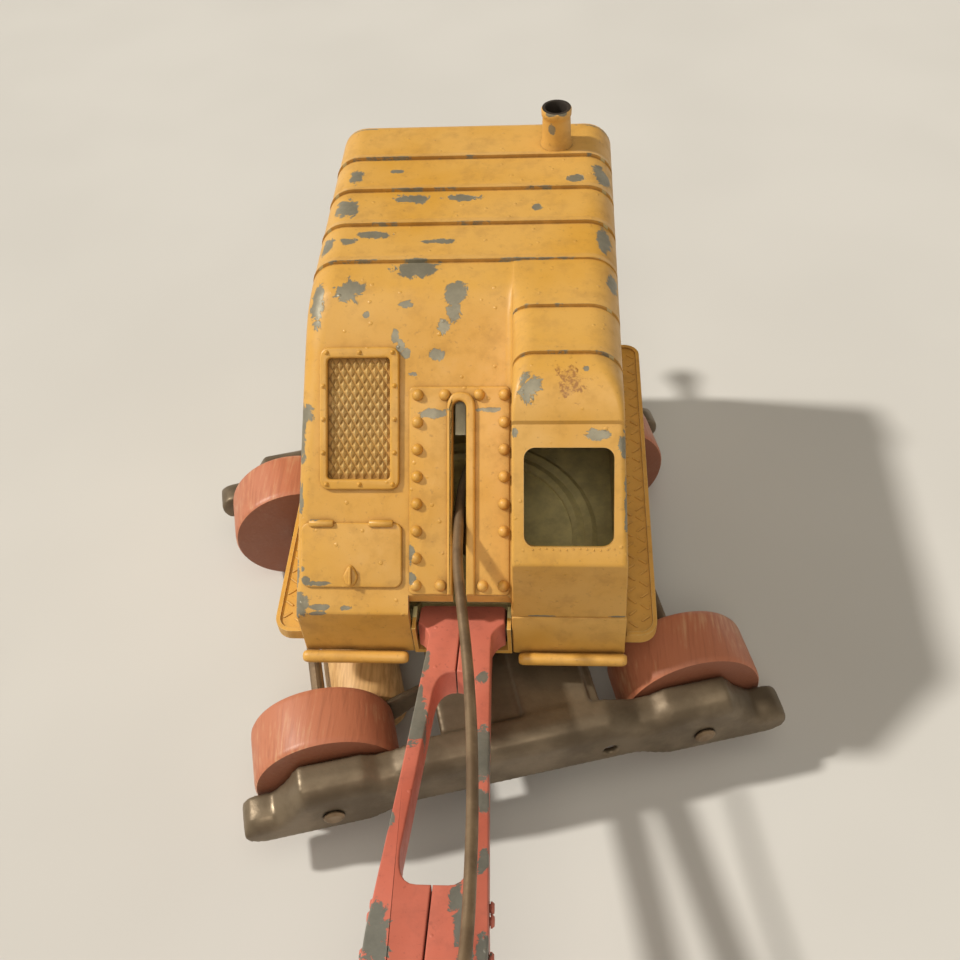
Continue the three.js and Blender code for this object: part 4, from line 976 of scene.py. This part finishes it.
ROOF_CHIPS = [
    (-34.5, 119.2, 120.1, 2.0, 3.6), (-22.3, 121.7, 120.1, 1.8, 1.1),
    (31.6, 116.2, 120.1, 2.7, 1.8), (39.1, 119.5, 118.3, 2.6, 4.2), (-35.6, 103.3, 120.1, 3.6, 4.2),
    (-17.0, 107.0, 120.1, 5.6, 2.2), (-1.7, 107.5, 120.1, 5.6, 1.6), (20.1, 102.0, 120.1, 1.5, 1.5),
    (-26.5, 90.1, 120.1, 4.6, 1.5), (-32.7, 87.2, 120.1, 2.4, 1.6), (-6.6, 86.6, 120.1, 4.2, 1.1),
    (38.9, 88.2, 118.6, 2.2, 5.5), (-39.2, 86.6, 118.1, 1.8, 3.6), (-12.1, 74.5, 119.6, 6.4, 3.0),
    (41.2, 70.5, 117.0, 2.0, 3.4),
]
HOOD_CHIPS = [
    (-30.3, 67, 119, 3.8, 3.6), (-39.4, 64.8, 116, 2.2, 6.0), (-0.8, 66.5, 118.7, 3.4, 3.0),
    (-1.9, 61.9, 115.6, 2.2, 3.6), (-4.3, 58.4, 112.6, 1.6, 2.4), (-14.7, 63.3, 116.8, 2.0, 1.0),
    (-25.4, 60.8, 115, 1.0, 1.0), (-17.6, 56.1, 111.2, 1.0, 1.8), (-16.0, 54.4, 109.8, 1.2, 1.5),
    (-14.4, 52.8, 108.4, 1.2, 1.3), (-6.4, 52.5, 108, 2.0, 1.2), (-12.6, 48.6, 104.8, 1.4, 0.6),
    (-43.6, 38, 95.5, 1.6, 8.0), (-42.6, 40.9, 98, 2.7, 2.4), (-43.2, 31, 89.3, 1.5, 2.0),
    (-43.9, 24, 83, 1.3, 4.6), (-44.2, 2.2, 63.6, 2.9, 3.4), (-44.6, 8.0, 69, 1.0, 4.0),
    (-38.2, 1.3, 62.9, 3.6, 0.6, 1.0), (-30.9, 1.2, 62.8, 1.6, 0.7, 1.0),
    (-38.8, -0.1, 61.6, 3.0, 0.8, 0.6), (19.2, 31.6, 115.2, 2.9, 3.8),
    (33.4, 35.4, 117.8, 0.9, 0.8), (36.6, 22.9, 107.9, 3.8, 1.0), (43.0, 20.6, 105.4, 1.8, 3.2),
    (43.8, 11, 95.4, 0.9, 8.0), (15.4, 23.4, 108.2, 1.0, 1.2), (21.6, -0.1, 61.8, 4.2, 0.8, 0.35),
    (42.3, -0.1, 61.8, 2.2, 0.8, 0.35),
]
HOOD_STAINS = [(29.3, 32.9, 116.8, 3.2, 3.4), (28.0, 30.2, 115.0, 1.4, 1.4)]
PLATE_CHIPS = [(-7.2, 40, 98, 3.9, 0.9), (8.0, 40.7, 98.4, 3.2, 0.5), (-13, 12.0, 73, 1.0, 2.8),
               (-12.8, 6.8, 68.4, 1.1, 2.0)]
STACK_CHIPS = [(24.4, 131.0, 127.0, 1.1, 1.8), (24.0, 131.6, 132.2, 2.2, 0.9, 0.8),
               (28.0, 131.6, 132.4, 2.6, 0.9, 0.8), (27.4, 139.4, 132.2, 2.4, 0.8, 0.8)]
DOOR_CHIPS = [(-42.0, 6.2, 68, 1.5, 0.9), (-38.4, 5.6, 67.6, 3.4, 0.5), (-42.6, 8.8, 70.2, 0.7, 0.8),
              (-39.4, 18.6, 79.2, 1.6, 0.8)]

BOOM_CHIPS = [
    (-8.4, -19, 4, 1.3, 4.6), (-8.2, -40, 4, 2.2, 7.0), (-8.9, -32, 4, 1.2, 5.0),
    (-11, -69, 4, 1.3, 2.4), (6.8, -23.5, 4, 1.6, 2.4), (8.7, -49, 4, 2.4, 9.0),
    (9.6, -64, 4, 1.7, 3.6), (10.6, -79, 4, 1.5, 3.4), (5.8, -89, 4, 1.9, 3.4),
    (7.0, -95, 4, 1.6, 5.0), (8.4, -103, 4, 2.0, 4.0), (-10.4, -98, 4, 2.8, 6.0),
    (-11.2, -108, 4, 2.8, 7.0), (11.4, -101, 4, 1.5, 4.0), (-6.0, -128, 4, 2.0, 5.0),
    (10.5, -140, 4, 2.0, 6.0),
]

YELLOW = (0.655, 0.37, 0.088)
YELLOW_WARM = (0.61, 0.315, 0.043)
# dark colour of real grime, also used for the painted shade in corners
YELLOW_GRIME_AND_SHADE = (0.26, 0.125, 0.030)
ZINC = (0.295, 0.268, 0.195)
RED = (0.60, 0.17, 0.115)
RED_WARM = (0.50, 0.12, 0.075)
# dark colour of real grime, also used for the painted shade in corners
RED_GRIME_AND_SHADE = (0.24, 0.065, 0.045)



def crest(y, half, low_x):
    place = HOUSE @ Vector((low_x, y + 0.15, ROOF_Z - 6))
    return place.y, half * MM, place.x, place.z


ridge_lines = [crest(y, 0.36, CAB_WALL_X) for y in CAB_RIDGES] + [crest(y, 0.36, -60) for y in RIDGES]
ridge_lines.append(crest(LENGTH - 3.4, 0.5, -60))
shell_paint = enamel("yellow_enamel_shell", YELLOW, YELLOW_WARM, YELLOW_GRIME_AND_SHADE, ZINC, 0.72,
                     at(ROOF_CHIPS + HOOD_CHIPS, HOUSE), ridge_lines, stains=at(HOOD_STAINS, HOUSE))
trim_paint = enamel("yellow_enamel_trim", YELLOW, YELLOW_WARM, YELLOW_GRIME_AND_SHADE, ZINC, 0.78,
                    at(PLATE_CHIPS + DOOR_CHIPS + STACK_CHIPS, HOUSE))
# painted shade: near-black colour for the inside of the exhaust bore
bore_shade = cast_metal("bore_shade", (0.045, 0.030, 0.018), (0.020, 0.014, 0.010), (0.6, 0.8), 0.1)
mesh_paint = enamel("yellow_enamel_mesh", (0.66, 0.47, 0.20), (0.62, 0.40, 0.13), YELLOW_GRIME_AND_SHADE, ZINC,
                    0.70)
# the unpainted middle of the deck is real, but its pale colour is painted light for the dim inside of
# the cab
deck_paint = enamel("yellow_enamel_deck", YELLOW, YELLOW_WARM, YELLOW_GRIME_AND_SHADE, (0.78, 0.68, 0.34), 0.78,
                    raw=(42.5 * MM, (HOUSE @ Vector((0, 3.2, 0))).y, (HOUSE @ Vector((0, 144, 0))).y))
# painted light: the unpainted inside metal is far paler than bare zinc elsewhere, standing in for light
# in the dim cab
lightened_inner_metal = cast_metal("raw_inside_lightened", (0.74, 0.63, 0.33), (0.60, 0.50, 0.25), (0.5, 0.7), 0.05)
red_paint = enamel("red_enamel", RED, RED_WARM, RED_GRIME_AND_SHADE, (0.24, 0.235, 0.20), 0.66,
                   at(BOOM_CHIPS, BOOM), edge_wear=3.2)
casting = cast_metal("grey_casting", (0.20, 0.152, 0.098), (0.12, 0.088, 0.054), (0.36, 0.52), 0.5)
zinc = cast_metal("dull_zinc", (0.40, 0.37, 0.27), (0.28, 0.25, 0.17), (0.35, 0.55))
steel = cast_metal("brown_steel", (0.26, 0.18, 0.105), (0.16, 0.105, 0.06), (0.38, 0.58), 0.5, 2.0)
painted_wood = turned_wood("rubbed_red_wood", (0.56, 0.30, 0.165), (0.44, 0.20, 0.10),
                           (0.47, 0.165, 0.085))
bare_wood = turned_wood("bare_wood", (0.72, 0.45, 0.19), (0.52, 0.29, 0.11))

make_camera()
house_shell(shell_paint, lightened_inner_metal)
slot_plate(trim_paint)
plate_rivets(trim_paint)
grille(trim_paint)
grille_mesh(mesh_paint)
service_door(trim_paint)
cab_details(trim_paint)
walkway_tread(trim_paint)
exhaust(trim_paint, bore_shade)
step_bars(trim_paint)
boom_halves(red_paint)
wheels(painted_wood, bare_wood)
control_rod(steel)
keep("base_plate", deck_paint)
keep("chassis_casting", casting)
soften("chassis_casting", 0.0006, 0.6, 9)
for name in ("slot_keeper", "crank_lever", "boom_sheave"):
    keep(name, zinc)
for name in ("dipper_stick", "bucket", "bucket_door", "lever_knob", "boom_rivet_1", "boom_rivet_2",
             "boom_rivet_3"):
    keep(name, red_paint)
for name in ("swing_washer", "king_pin", "king_pin_cap", "axle_left", "axle_right", "roller_pin",
             "floor_screw_1", "floor_screw_2", "floor_screw_3", "floor_screw_4", "boom_foot_pin",
             "crank_pin", "dipper_pin",
             "sheave_pin", "rod_stud", "rod_bush", "door_pin", "stick_bolt"):
    keep(name, steel)
make_stage()
